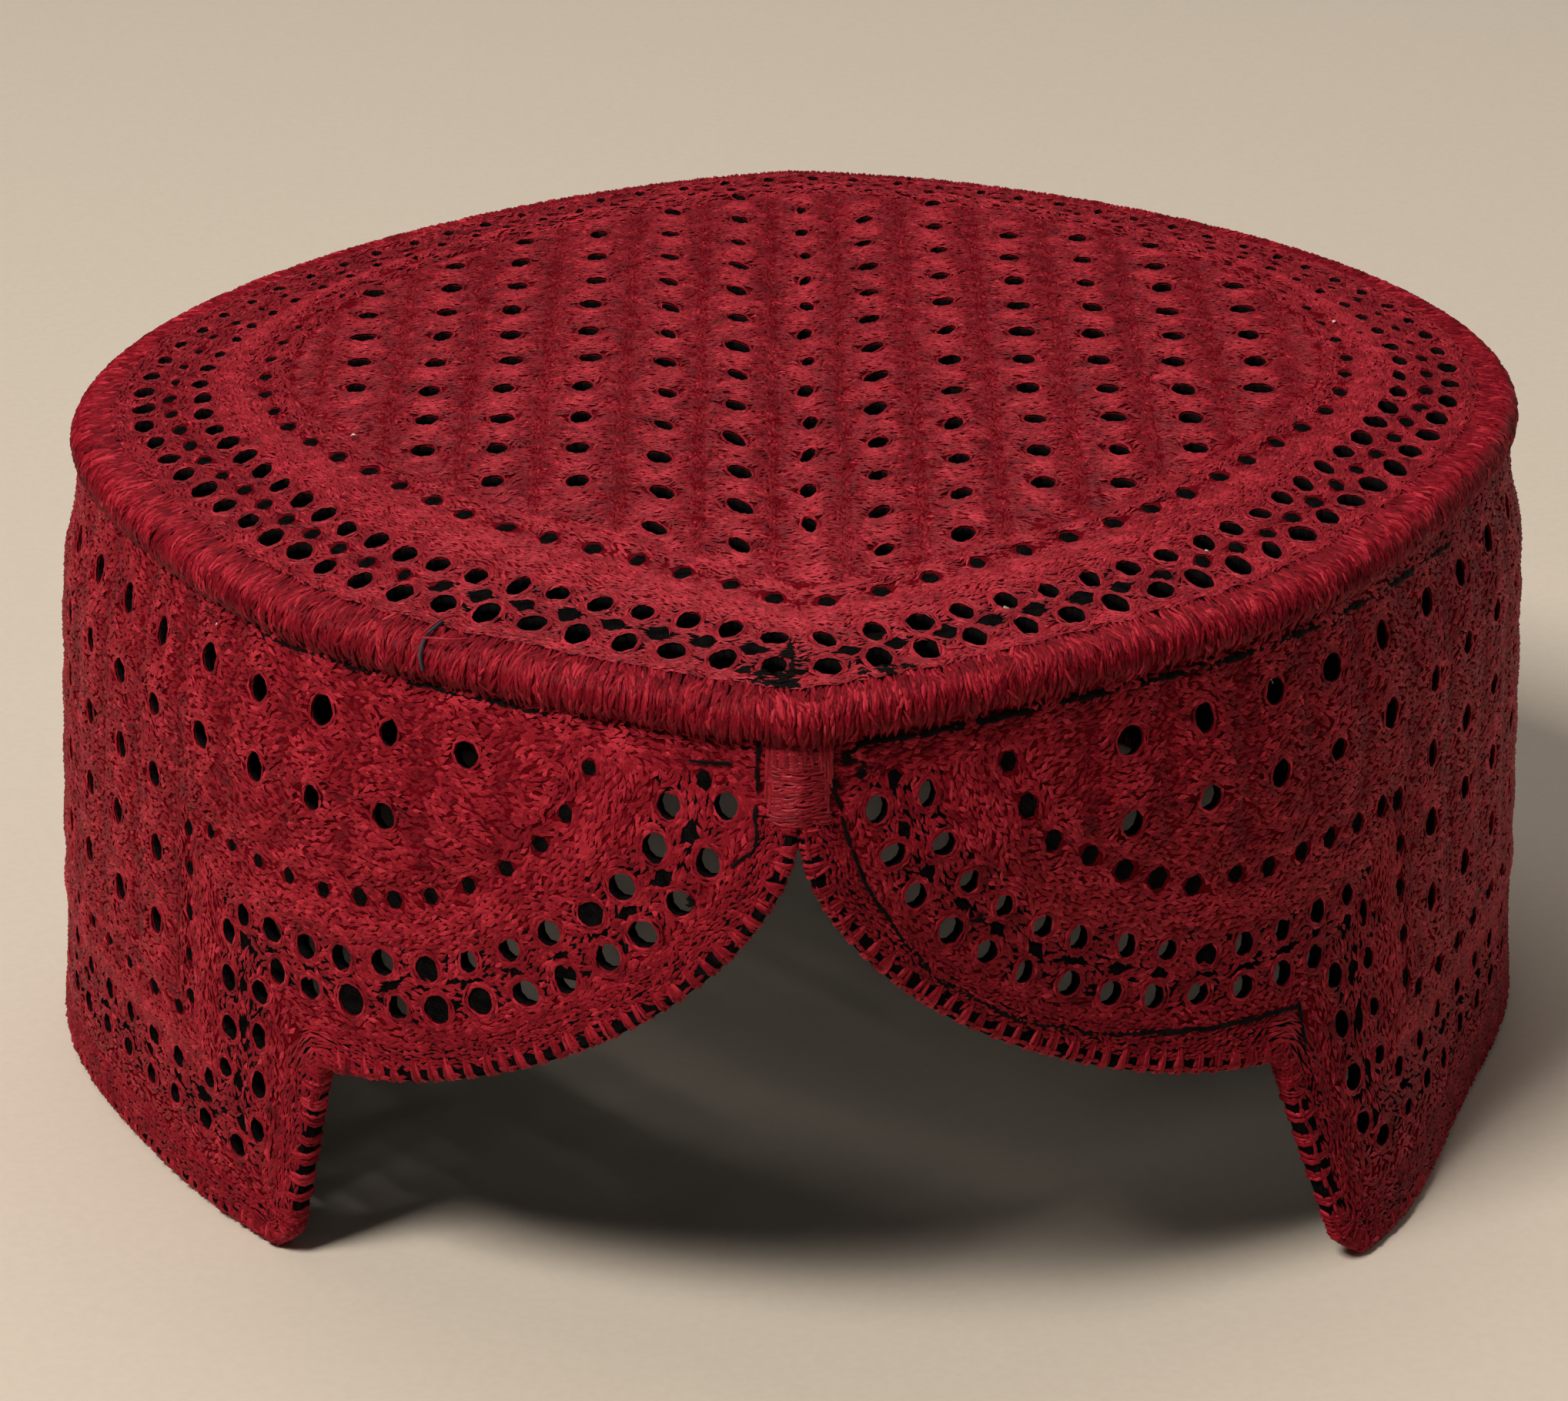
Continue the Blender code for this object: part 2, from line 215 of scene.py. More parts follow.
TORN_CORNER = ((-7.3, -89.0), (0.2, -89.4), (0.2, -91.9))

# Odd ends: specks of lint, and the corners of each loose thread with their lift
CROWN_SPECKS = ((-53.8, -14.5), (69.3, 21.8))
WALL_SPECKS = ((-85.5, -7.9),)
BLUE_END = (
    (-47.2, -0.9, 0.30),
    (-47.3, -2.6, 0.50),
    (-47.0, -4.6, 0.50),
    (-46.7, -6.6, 0.45),
    (-46.3, -8.2, 0.15),
)
RED_END = (
    (-42.2, -75.4, 0.70),
    (-40.6, -73.2, 1.10),
    (-39.0, -71.4, 1.00),
    (-37.7, -70.9, 0.70),
    (-36.9, -71.9, 0.45),
)
RED_LOOP = (
    (-42.0, -76.0, 0.70),
    (-40.6, -76.9, 1.00),
    (-38.6, -77.3, 0.90),
    (-36.9, -76.6, 0.60),
)

# Colours of the thread, the cloth under it and the odd ends
CRIMSON_DARK = (0.078, 0.0024, 0.0062, 1)
CRIMSON_MIDDLE = (0.245, 0.0080, 0.0180, 1)
CRIMSON_LIGHT = (0.520, 0.0320, 0.0550, 1)
UNDERLAY_RED = (0.155, 0.0042, 0.0090, 1)
BLACK_CLOTH = (0.0030, 0.0028, 0.0030, 1)
BLACK_CLOTH_LIGHT = (0.0075, 0.0068, 0.0075, 1)
BLUE_DARK = (0.020, 0.025, 0.040, 1)
BLUE_GREY = (0.036, 0.040, 0.062, 1)
LINT_WHITE = (0.80, 0.62, 0.60, 1)
FLOOR_BEIGE = (0.67, 0.62, 0.55, 1)


# Curves and surfaces


def smooth_curve(table, x):
    """Natural cubic spline through the table's (x, y) rows, read at the values x."""
    knots, values = np.array(table, float).T
    step = np.diff(knots)
    slope = np.diff(values) / step
    matrix = np.eye(len(knots))
    right = np.zeros(len(knots))
    for row in range(1, len(knots) - 1):
        matrix[row, row - 1 : row + 2] = step[row - 1], 2 * (step[row - 1] + step[row]), step[row]
        right[row] = 6 * (slope[row] - slope[row - 1])
    bend = np.linalg.solve(matrix, right)
    x = np.asarray(x, float)
    k = np.clip(np.searchsorted(knots, x) - 1, 0, len(step) - 1)
    before, after, h = x - knots[k], knots[k + 1] - x, step[k]
    cubic = (bend[k] * after**3 + bend[k + 1] * before**3) / (6 * h)
    low = values[k] / h - bend[k] * h / 6
    high = values[k + 1] / h - bend[k + 1] * h / 6
    return cubic + low * after + high * before


def unit(vectors):
    """Vectors scaled to length one."""
    return vectors / np.maximum(np.linalg.norm(vectors, axis=-1, keepdims=True), 1e-12)


def lengths_along(path):
    """Distance along a path of points from its first point to each of them."""
    return np.concatenate([[0], np.cumsum(np.linalg.norm(np.diff(path, axis=0), axis=1))])


def along_path(path, at):
    """Points of a path at the given distances from its first point."""
    length = lengths_along(path)
    return np.stack([np.interp(at, length, values) for values in path.T], axis=-1)


def smooth_step(low, high, x):
    """0 below low and 1 above high, with the curve 3t^2 - 2t^3 between them."""
    t = np.clip((x - low) / (high - low), 0, 1)
    return t * t * (3 - 2 * t)


def bump(centre, reach, x):
    """A round hump: the square of a cosine, 1 at the centre and 0 beyond its reach."""
    return np.cos(np.clip((x - centre) / reach, -1, 1) * math.pi / 2) ** 2


LATTICE = RANDOM.normal(0, 1, (97, 89))


def blotch(x, y, size):
    """Soft random patches of about the given size, mostly between -1 and 1: random values on a
    lattice, blended between its points by the curve 3t^2 - 2t^3."""
    u, v = np.asarray(x) / size, np.asarray(y) / size
    column, row = np.floor(u).astype(int), np.floor(v).astype(int)
    s, t = smooth_step(0, 1, u - column), smooth_step(0, 1, v - row)
    a, b = column % LATTICE.shape[0], row % LATTICE.shape[1]
    c, d = (column + 1) % LATTICE.shape[0], (row + 1) % LATTICE.shape[1]
    low = LATTICE[a, b] * (1 - s) + LATTICE[c, b] * s
    high = LATTICE[a, d] * (1 - s) + LATTICE[c, d] * s
    return 0.8 * (low * (1 - t) + high * t)


ANGLE_TABLE = np.linspace(0, 180, 721)
PLAN_TABLE = smooth_curve(PLAN, ANGLE_TABLE)


def plan_radius(angle):
    """Radius of the crown's edge at an angle from the front in degrees, the same on both sides."""
    return np.interp(np.abs(angle), ANGLE_TABLE, PLAN_TABLE)


def wall_point(side, angle, drop, outset=0.0):
    """Point of the wall's outer face: the plan radius plus the bulge, the right tab's flare and the
    outset, turned by the angle, with the crown leaning to the right of the foot."""
    depth = np.clip((drop - FLARE_TOP) / (HEIGHT - FLARE_TOP), 0, 1) ** FLARE_POWER
    flare = TAB_FLARE * depth * np.exp(-(((angle - FLARE_ANGLE) / FLARE_SPREAD) ** 2))
    radius = plan_radius(angle) + np.interp(drop, *np.array(BULGE).T) + (side > 0) * flare + outset
    turn = np.radians(angle)
    x = side * radius * np.sin(turn) + LEAN * (1 - drop / HEIGHT)
    y = -radius * np.cos(turn) + CENTRE_Y
    return np.stack(np.broadcast_arrays(x, y, HEIGHT - drop), axis=-1)


RUN_TABLE = lengths_along(wall_point(-1, ANGLE_TABLE, RUN_DROP))
BACK_RUN = RUN_TABLE[-1]


def wall_surface(run, level, outset=0.0):
    """Point of the wall's outer face by signed run and level: the angle comes from the run's length
    along the wall at RUN_DROP, and the side from its sign."""
    side = np.where(run < 0, -1, 1)
    return wall_point(side, np.interp(np.abs(run), RUN_TABLE, ANGLE_TABLE), -level, outset)


def crown_angle(x, y):
    """Angle of a crown place from the front in degrees, the same on both sides."""
    return np.degrees(np.arctan2(np.abs(x), -y))


def crown_edge_distance(x, y):
    """Distance of a crown place inside the crown's edge: the plan radius less the place's own."""
    return plan_radius(crown_angle(x, y)) - np.hypot(x, y)


def crown_surface(x, y):
    """Point of the crown's upper face: a dome that falls with the square of the share of the radius,
    less a narrow crease from front to back."""
    radius = np.hypot(x, y)
    share = radius / np.maximum(radius + crown_edge_distance(x, y), 1e-6)
    rise = CROWN_RISE - CREASE_DEPTH * np.exp(-((x / CREASE_WIDTH) ** 2))
    z = HEIGHT + rise * (1 - share**2)
    return np.stack(np.broadcast_arrays(x + LEAN, y + CENTRE_Y, z), axis=-1)


def ring_fullness(x):
    """The rings lie a little further in on the left half than on the right, which meet in a slope
    over the middle."""
    return 1 - RING_SHIFT * np.clip(np.asarray(x) / RING_SLOPE, -1, 1)


def ring_distances(x, y):
    """Distance inside the crown's edge of the edge itself and each ring, at a place's angle."""
    angle = crown_angle(x, y)
    return np.stack([np.interp(angle, ANGLE_TABLE, row) for row in RING_TABLE]) * ring_fullness(x)


def crown_level(x, y):
    """The ring on which a crown place lies, in parts of a ring: the sum over the bands between two
    rings of the share of each that lies outside the place."""
    marks = ring_distances(x, y)
    shares = (crown_edge_distance(x, y) - marks[:-1]) / np.diff(marks, axis=0)
    return np.clip(shares, 0, 1).sum(axis=0)


def depth_in_field(x, y):
    """Distance of a crown place inside the start of the field."""
    return crown_edge_distance(x, y) - ring_distances(x, y)[FIELD_RING]


def column_at(x):
    """The column on which a crown place lies, in parts of a column, straight between the columns' x."""
    numbers = np.array([row[0] for row in COLUMNS], float)
    places = np.array([row[1] for row in COLUMNS], float)
    numbers = np.concatenate([numbers[:1] - 1, numbers, numbers[-1:] + 1])
    places = np.concatenate([places[:1] - COLUMN_STEP, places, places[-1:] + COLUMN_STEP])
    return np.interp(x, places, numbers)


def off_column(x):
    """How far a crown place is from its column, 0 on it and 0.5 in the valley between two."""
    column = column_at(x)
    return np.abs(column - np.round(column))


RING_CURVES = [
    smooth_curve([(row[0], row[ring]) for row in RINGS], ANGLE_TABLE) for ring in range(1, FIELD_RING + 1)
]
RING_TABLE = np.vstack([0 * ANGLE_TABLE] + RING_CURVES)


def on_surface(surface, places, lift):
    """Points lifted off a surface along its normal, and the normals: the normal is the cross product
    of the slopes along the two parameters, each taken over a tenth of a millimetre."""
    u, v = places[..., 0], places[..., 1]
    reach = 0.05
    across = surface(u + reach, v) - surface(u - reach, v)
    upward = surface(u, v + reach) - surface(u, v - reach)
    normal = unit(np.cross(across, upward))
    return surface(u, v) + normal * np.asarray(lift)[..., None], normal


RIM_PROFILE = (  # outset from the crown's edge, height above it
    (-1.3, 0.28),
    (-0.3, 0.16),
    (0.9, -0.24),
    (2.4, -0.31),
    (3.85, -0.78),
    (4.8, -1.8),
    (5.16, -3.1),
    (4.8, -4.5),
    (4.05, -5.45),
    (3.85, -6.4),
)
RIM_WIDTH = lengths_along(np.array(RIM_PROFILE))[-1]
RIM_TABLE = lengths_along(wall_point(1, ANGLE_TABLE, CORD_DROP, CORD_OUTSET))
RIM_LENGTH = RIM_TABLE[-1]


def rim_profile(distance):
    """Outset and height over the rim cord, by distance along the overcasting: from the crown's edge
    over the round of the cord and down to the wall."""
    profile = np.array(RIM_PROFILE)
    length = lengths_along(profile)
    return [smooth_curve(np.column_stack([length, values]), distance) for values in profile.T]


def rim_surface(run, level):
    """Point over the rim cord: run is signed, along the cord from the front, and level is the
    distance across it from the crown down to the wall, with a minus sign."""
    angle = np.interp(np.abs(run), RIM_TABLE, ANGLE_TABLE)
    outset, height = rim_profile(-level)
    turn = np.radians(angle)
    radius = plan_radius(angle) + outset
    x = np.where(run < 0, -1, 1) * radius * np.sin(turn) + LEAN * (1 + height / HEIGHT)
    y = -radius * np.cos(turn) + CENTRE_Y
    return np.stack(np.broadcast_arrays(x, y, HEIGHT + height), axis=-1)


# The wall's lower edge and the rows that follow it


def lobe_drop(share, fullness):
    """Share of a lobe's drop at a share of its run: (1 - (1 - share)^n)^(1/n), a superellipse."""
    return (1 - (1 - share) ** fullness) ** (1 / fullness)


def lobe_curve(start, end, fullness, count):
    """A quarter of a superellipse in (run, drop) rows, steep at its start and level at its end, with
    its points closer together at the start."""
    start, end = np.array(start, float), np.array(end, float)
    share = np.linspace(0, 1, count) ** 1.7
    return start + (end - start) * np.column_stack([share, lobe_drop(share, fullness)])


def row_measures(row):
    """Start run, start drop, step drop, tab run, tab lean, foot drop and fullness of a row of the
    table, or of a row between two of them."""
    *measures, height = [np.interp(row, np.arange(len(ROWS)), column) for column in np.array(ROWS).T]
    fullness = np.interp(row, [0, 1], [LOBE_FULLNESS, ROW_FULLNESS])
    return *measures, HEIGHT - height, fullness


def row_path(row):
    """A row's (run, drop) path: round the lobe, level past the step, down beside the tab and level to
    the back."""
    start, top, step, tab, lean, foot, fullness = row_measures(row)
    lobe = lobe_curve((start, top), (LOBE_RUN, step), fullness, 48)
    return np.vstack([lobe, [(tab, step), (tab + lean, foot), (BACK_RUN - 0.5, foot)]])


def row_of(run, drop):
    """The row, in parts of a row, on which a wall place lies, found by halving the range of rows: a
    place is above a row where it is above its lobe, its level stretch or its foot. Below zero the
    rows lie outside the first one, EDGE_ROW_PITCH apart."""
    run, drop = np.abs(run), np.asarray(drop, float)
    low, high = np.full(run.shape, LOWEST_ROW), np.full(run.shape, float(len(ROWS) - 1))
    for _ in range(ROW_HALVINGS):
        middle = (low + high) / 2
        start, top, step, tab, lean, foot, fullness = row_measures(middle)
        outside = np.minimum(middle, 0) * EDGE_ROW_PITCH
        share = np.clip((run - start - outside) / (LOBE_RUN - start), 0, 1)
        lobe = top + (step - top) * lobe_drop(share, fullness)
        tab_run = tab + outside + lean * np.clip((drop - step) / (foot - step), 0, 1)
        limit = np.where(run < LOBE_RUN, lobe, step) - outside
        above = np.where(run < tab_run, drop < limit, drop < foot - outside) & (run > start + outside)
        low, high = np.where(above, middle, low), np.where(above, high, middle)
    return low


def lower_edge():
    """The wall's lower edge as (run, drop) rows, from under the bar to the back centre line."""
    start = GAP / 2
    step, tip = LOBE_RUN + start, LOBE_RUN + start + TAB_LEAN
    lobe = lobe_curve((start, NOTCH_TOP), (step, LOBE_DROP), LOBE_FULLNESS, 40)
    tab = [
        (step + TAB_LEAN / 2, (LOBE_DROP + HEIGHT) / 2),
        (tip - 0.2 * TAB_CORNER, HEIGHT - TAB_CORNER),
        (tip + TAB_CORNER, HEIGHT),
        (tip + 11, HEIGHT),
        (BACK_RUN - start, HEIGHT),
    ]
    return np.vstack([[(start, BAR_BOTTOM + GAP)], lobe, tab])


def inset(path, distance):
    """A (run, drop) path moved into the cloth along the mitre of its two neighbouring stretches."""
    along = unit(np.diff(path, axis=0))
    inward = np.column_stack([along[:, 1], -along[:, 0]])
    before = np.vstack([inward[:1], inward])
    after = np.vstack([inward, inward[-1:]])
    mitre = before + after
    mitre /= np.sum(mitre * before, axis=1, keepdims=True)
    moved = path + distance * mitre
    moved[0, 1], moved[-1, 0] = path[0, 1], path[-1, 0]
    return moved


# Eyelets: place, half width, half length and turn of each


def scattered(places, width, length, turn, wander):
    """Eyelet rows (x, y, half width, half length, turn) with small differences of place and size."""
    count = len(places)
    places = places + RANDOM.normal(0, wander, (count, 2))
    size = 1 + RANDOM.normal(0, 0.09, (count, 2))
    half = np.broadcast_to(np.stack([width, length], axis=-1), (count, 2)) / 2 * size
    turn = np.broadcast_to(turn, count) + RANDOM.normal(0, 0.10, count)
    return np.column_stack([places, half, turn])


def crown_ring(level, side):
    """Half a ring at a level between two rings, as a path from the front to the back."""
    low = min(int(level), FIELD_RING - 1)
    distance = RING_TABLE[low] + (level - low) * (RING_TABLE[low + 1] - RING_TABLE[low])
    angle = np.radians(ANGLE_TABLE)
    x = side * (PLAN_TABLE - distance) * np.sin(angle)
    radius = PLAN_TABLE - distance * ring_fullness(x)
    return np.column_stack([side * radius * np.sin(angle), -radius * np.cos(angle)])


def crown_eyelets():
    """The crown's open eyelets and its small closed ones. Those of the rings are smaller where the
    rings crowd at the back, and lean inwards at the front, and the field's shrink to the back."""
    opened, closed = [], []
    for side in (-1, 1):
        for ring, count, width, length, shift in RING_EYELETS:
            path = crown_ring(ring, side)
            places = along_path(path, (np.arange(count) + shift) / count * lengths_along(path)[-1])
            size = 0.52 + 0.48 * smooth_step(38, -22, places[:, 1])
            turn = 0.18 * side * smooth_step(20, -50, places[:, 1])
            group = opened if ring in (OUTER_RING, INNER_RING) else closed
            group.append(scattered(places, width * size, length * size, turn, 0.15))
    for column, x, first, last, count in COLUMNS:
        y = np.linspace(first, last, count)
        width, length, turn = COLUMN_EYELETS.get(column, COLUMN_EYELETS[None])
        size = 1.03 - 0.16 * smooth_step(5, 75, y)
        places = np.column_stack([np.full(count, x), y])
        opened.append(scattered(places, width * size, length * size, turn, 0.2))
    return np.vstack(opened), np.vstack(closed)


def to_level(path, side):
    """A (run, drop) path as wall places on one side."""
    return np.column_stack([side * path[:, 0], -path[:, 1]])


def split_row(row):
    """A row's path in two: down to the foot beside the tab, and along the foot to the back."""
    path = row_path(row)
    return path[:-1], path[-2:]


def wall_eyelets(side):
    """One half of the wall's open eyelets and its small closed ones: upright beside the lobe, and
    lying down along the foot. The field's second row lacks its first eyelet on the left half."""
    opened, closed = [], []
    for row, beside_count, foot_count, *sizes in WALL_EYELETS:
        beside, foot = split_row(row)
        size = sizes[side > 0]
        for path, count, upright in ((beside, beside_count, UPRIGHT), (foot, foot_count, 1 / UPRIGHT)):
            total = lengths_along(path)[-1]
            shift = 0.5 if row != SMALL_ROW else 0.05
            places = to_level(along_path(path, (np.arange(count) + shift) / count * total), side)
            smaller = 1 - 0.10 * smooth_step(60, 90, np.abs(places[:, 0]))
            group = scattered(places, size * smaller / upright, size * smaller * upright, 0.0, 0.25)
            (opened if row in (OUTER_ROW, INNER_ROW) else closed).append(group)
    front = []
    for drop, first in zip(FRONT_DROPS, (0, int(side < 0))):
        front += [(run, -drop) for run in FRONT_COLUMNS[first:]]
    back_runs = np.arange(SIDE_COLUMN, BACK_RUN - 5, SIDE_STEP)
    back = [(run, -drop) for drop in SIDE_DROPS for run in back_runs]
    places = np.array(front + back) * (side, 1)
    size = FIELD_EYELETS[side > 0]
    opened.append(scattered(places, size / UPRIGHT, size * UPRIGHT, 0.0, 0.28))
    return np.vstack(opened), np.vstack(closed)


def nearest_eyelet(places, eyelets):
    """Which eyelet's rim is nearest to each place, worked out a few thousand places at a time."""
    flat = places.reshape(-1, 2)
    radius = eyelets[:, 2:4].mean(axis=1)
    found = np.empty(len(flat), int)
    for start in range(0, len(flat), 4096):
        part = flat[start : start + 4096]
        away = np.hypot(*(part[:, None] - eyelets[:, :2]).transpose(2, 0, 1)) - radius
        found[start : start + 4096] = away.argmin(axis=1)
    return found.reshape(places.shape[:-1])


def in_eyelet(vectors, eyelets):
    """Vectors from an eyelet's centre, turned to its axes and measured in its half sizes."""
    cos, sin = np.cos(eyelets[..., 4]), np.sin(eyelets[..., 4])
    along = cos * vectors[..., 0] + sin * vectors[..., 1]
    across = -sin * vectors[..., 0] + cos * vectors[..., 1]
    return np.stack([along / eyelets[..., 2], across / eyelets[..., 3]], axis=-1)


def out_of_eyelet(vectors, eyelets):
    """The reverse of in_eyelet."""
    cos, sin = np.cos(eyelets[..., 4]), np.sin(eyelets[..., 4])
    along, across = vectors[..., 0] * eyelets[..., 2], vectors[..., 1] * eyelets[..., 3]
    return np.stack([cos * along - sin * across, sin * along + cos * across], axis=-1)


def rim_distance(places, eyelets):
    """Distance from the centre of the nearest eyelet, in its own half sizes, so 1 is its rim."""
    near = eyelets[nearest_eyelet(places, eyelets)]
    return np.linalg.norm(in_eyelet(places - near[..., :2], near), axis=-1)


# Low relief of the stitched pile


def crown_relief(places, eyelets):
    """Lift of the crown's pile: puffed columns with narrow valleys between them in the field, a ridge
    each side of the closed ring, and a hollow round each eyelet."""
    x, y = places[..., 0], places[..., 1]
    level = crown_level(x, y)
    field = smooth_step(-0.5, 2.5, depth_in_field(x, y))
    puffs = 0.42 * (1 - smooth_step(0.14, 0.44, off_column(x)))
    ridges = 0.50 * bump(3.5, 0.5, level) + 0.36 * bump(4.45, 0.5, level) + 0.15 * bump(0.25, 0.6, level)
    hollow = smooth_step(0.9, 2.1, rim_distance(places, eyelets))
    return (field * puffs + (1 - field) * ridges) * (0.15 + 0.85 * hollow)


def crown_dabs(x, y):
    """Nearness to the middle between two eyelets of a column: the square of the sine of the phase
    along the column, fading out beside it with the square of a cosine. The painted highlight
    between the eyelets follows it."""
    index = np.clip(np.round(column_at(x)).astype(int) - COLUMNS[0][0], 0, len(COLUMNS) - 1)
    _, _, first, last, count = np.array(COLUMNS).T
    phase = (y - first[index]) / (last[index] - first[index]) * (count[index] - 1)
    return np.sin(math.pi * phase) ** 2 * bump(0, 0.42, off_column(x))


def crown_tone_and_painted_light(places):
    """How much lighter or darker than middling the crown's stitches are: a little dark all over the
    field, with a painted highlight between the eyelets of each column, on the ridges each side of the
    closed ring and towards the crown's front, painted shade in the valleys between the columns, and
    darker over the honeycomb."""
    x, y = places[..., 0], places[..., 1]
    level = crown_level(x, y)
    field = smooth_step(-1.0, 1.5, depth_in_field(x, y))
    # painted highlight between the eyelets of each column, and painted shade in the valleys between
    columns = 0.26 * crown_dabs(x, y) - 0.06 - 0.03 * smooth_step(0.24, 0.42, off_column(x))
    # lighter towards the crown's front: painted light
    front = 0.10 * smooth_step(-25, -70, y)
    # painted highlights on the ridges each side of the closed ring; darker over the honeycomb
    rings = 0.14 * bump(3.5, 0.5, level) + 0.04 * bump(4.5, 0.5, level) - 0.07 * bump(1.8, 1.5, level)
    return front - 0.05 + field * columns + (1 - field) * rings


def wall_field(places):
    """A wall place's row, how far it is into the field, and its nearness to a column of eyelets: the
    square of the cosine of its phase between two columns."""
    run, drop = np.abs(places[..., 0]), -places[..., 1]
    row = row_of(run, drop)
    beyond = smooth_step(FIELD_ROW - 0.6, FIELD_ROW - 0.05, row)
    front, side = (run - FRONT_COLUMNS[0]) / FRONT_STEP, (run - SIDE_COLUMN) / SIDE_STEP
    phase = np.where(run < FRONT_END, front, side)
    return row, beyond, np.cos(math.pi * phase) ** 2


def wall_relief(places, eyelets):
    """Lift of the wall's pile: a ridge between the inner and ring rows and along the edge, shallow
    valleys midway between the field's columns, and a hollow round each eyelet."""
    row, beyond, column = wall_field(places)
    field = beyond * (0.10 + 0.42 * column**0.6)
    ridges = 0.46 * bump(3.55, 0.5, row) + 0.26 * bump(4.6, 0.5, row) + 0.20 * bump(0.45, 0.55, row)
    hollow = smooth_step(0.9, 2.1, rim_distance(places, eyelets))
    return (field + ridges * (1 - beyond)) * (0.15 + 0.85 * hollow)


def wall_tone_and_painted_light(places):
    """How much lighter or darker than middling the wall's stitches are: painted shade in the valleys
    midway between the field's columns, a painted highlight on the ridge between the inner and ring
    rows, and darker over the honeycomb.
    """
    row, beyond, column = wall_field(places)
    # painted shade in the valleys midway between the columns
    field = 0.05 - 0.18 * (1 - column) ** 3
    # painted highlight on the ridge between the inner and ring rows; darker over the honeycomb
    rings = 0.10 * bump(3.55, 0.5, row) - 0.05 * bump(1.8, 1.4, row)
    return beyond * field + (1 - beyond) * rings


# Threads


def random_shade(middle, spread, count):
    """A shade for each of some threads, scattered about a middle one."""
    return np.clip(RANDOM.normal(middle, spread, count), 0, 1)


def roof_faces(inside):
    """Triangles and quads of one thread with the given number of inner stations. Its points are the
    two ends, and then the right feet, the crests and the left feet."""
    right, top, left = [2 + inside * k + np.arange(inside) for k in range(3)]
    triangles = [
        (0, right[0], top[0]),
        (0, top[0], left[0]),
        (right[-1], 1, top[-1]),
        (top[-1], 1, left[-1]),
    ]
    slopes = [
        np.column_stack([right[:-1], right[1:], top[1:], top[:-1]]),
        np.column_stack([top[:-1], top[1:], left[1:], left[:-1]]),
    ]
    return np.array(triangles), np.vstack(slopes)


def thread_shape(surface, lines, width, lift, shade, height=STITCH_HEIGHT, sink=STITCH_SINK):
    """Points, faces and texture places of flat threads laid on a surface.

    lines is (threads, stations, 2) places. A thread is a low roof along its line: at each inner
    station a right foot, a crest and a left foot, and a single point at each end, sunk in the pile.
    """
    count, stations = lines.shape[:2]
    points, normals = on_surface(surface, lines, lift)
    along = np.gradient(points, axis=1)
    sideways = unit(np.cross(normals, along)) * np.reshape(width, (-1, 1, 1)) / 2
    inner = slice(1, stations - 1)
    ends = points[:, [0, -1]] - normals[:, [0, -1]] * (sink + 0.08)
    foot = points[:, inner] - normals[:, inner] * sink
    crest = points[:, inner] + normals[:, inner] * height
    corners = [ends, foot - sideways[:, inner], crest, foot + sideways[:, inner]]
    points = np.concatenate(corners, axis=1)

    triangles, quads = roof_faces(stations - 2)
    first = np.arange(count)[:, None, None] * points.shape[1]
    steps = np.linalg.norm(np.diff(lines, axis=1), axis=2)
    run = np.concatenate([np.zeros((count, 1)), np.cumsum(steps, axis=1)], axis=1)
    run = run + RANDOM.uniform(0, 50, (count, 1))
    across = np.reshape(width, (-1, 1)) / 2 * np.ones((1, stations - 2))
    place_u = np.concatenate([run[:, [0, -1]], run[:, inner], run[:, inner], run[:, inner]], axis=1)
    place_v = np.concatenate([np.zeros((count, 2)), -across, 0 * across, across], axis=1)
    place_v = place_v + RANDOM.uniform(0, 50, (count, 1))
    return {
        "points": points.reshape(-1, 3),
        "triangles": (first + triangles).reshape(-1, 3),
        "quads": (first + quads).reshape(-1, 4),
        "uv": np.stack([place_u, place_v], axis=-1).reshape(-1, 2),
        "shade": np.repeat(np.broadcast_to(shade, count), points.shape[1]),
    }


def joined(shapes):
    """Several shapes as one, with the faces' numbers moved on."""
    first = np.concatenate([[0], np.cumsum([len(shape["points"]) for shape in shapes])])
    whole = {}
    for key in ("points", "uv", "shade"):
        whole[key] = np.concatenate([shape[key] for shape in shapes])
    for key in ("triangles", "quads"):
        whole[key] = np.concatenate([shape[key] + at for shape, at in zip(shapes, first)])
    return whole


def straight_lines(places, heading, length, stations=3, bend=0.0):
    """Lines of a few stations through places, along the heading given in radians, with the middle
    bent to one side or the other."""
    share = np.linspace(-1, 1, stations)
    reach = np.reshape(length, (-1, 1)) / 2 * np.sign(share) * np.abs(share) ** 0.8
    direction = np.stack([np.cos(heading), np.sin(heading)], axis=-1)[:, None]
    square = direction[..., ::-1] * (-1, 1)
    aside = RANDOM.normal(0, 1, (len(places), 1)) * bend * (1 - share**2)
    return places[:, None] + reach[..., None] * direction + aside[..., None] * square


def pile_shade(places, tone, spread):
    """Shade of each stitch: the painted light and shade of its place, soft patches a few stitches wide,
    a difference of its own, and here and there a bright fleck, a painted glint, or a dark one,
    painted shade in a gap between stitches."""
    x, y = places.T
    patches = 0.10 * blotch(x, y, 2.3) + 0.08 * blotch(y + 31, x + 17, 1.1)
    chance = RANDOM.uniform(0, 1, len(places))
    # a few stitches lighter, as painted glints, and a few darker, as painted shade in the gaps
    painted_glints_and_gaps = 0.30 * (chance < 0.06) - 0.22 * (chance > 0.95)
    return np.clip(0.5 + tone(places) + patches + painted_glints_and_gaps + RANDOM.normal(0, spread, len(places)), 0, 1)


# In an eyelet's own half sizes: what the stitches leave free, and where none is kept
EYELET_CLEARANCE = (1.10, 1.16)
EYELET_MIDDLE = (0.42, 0.95)


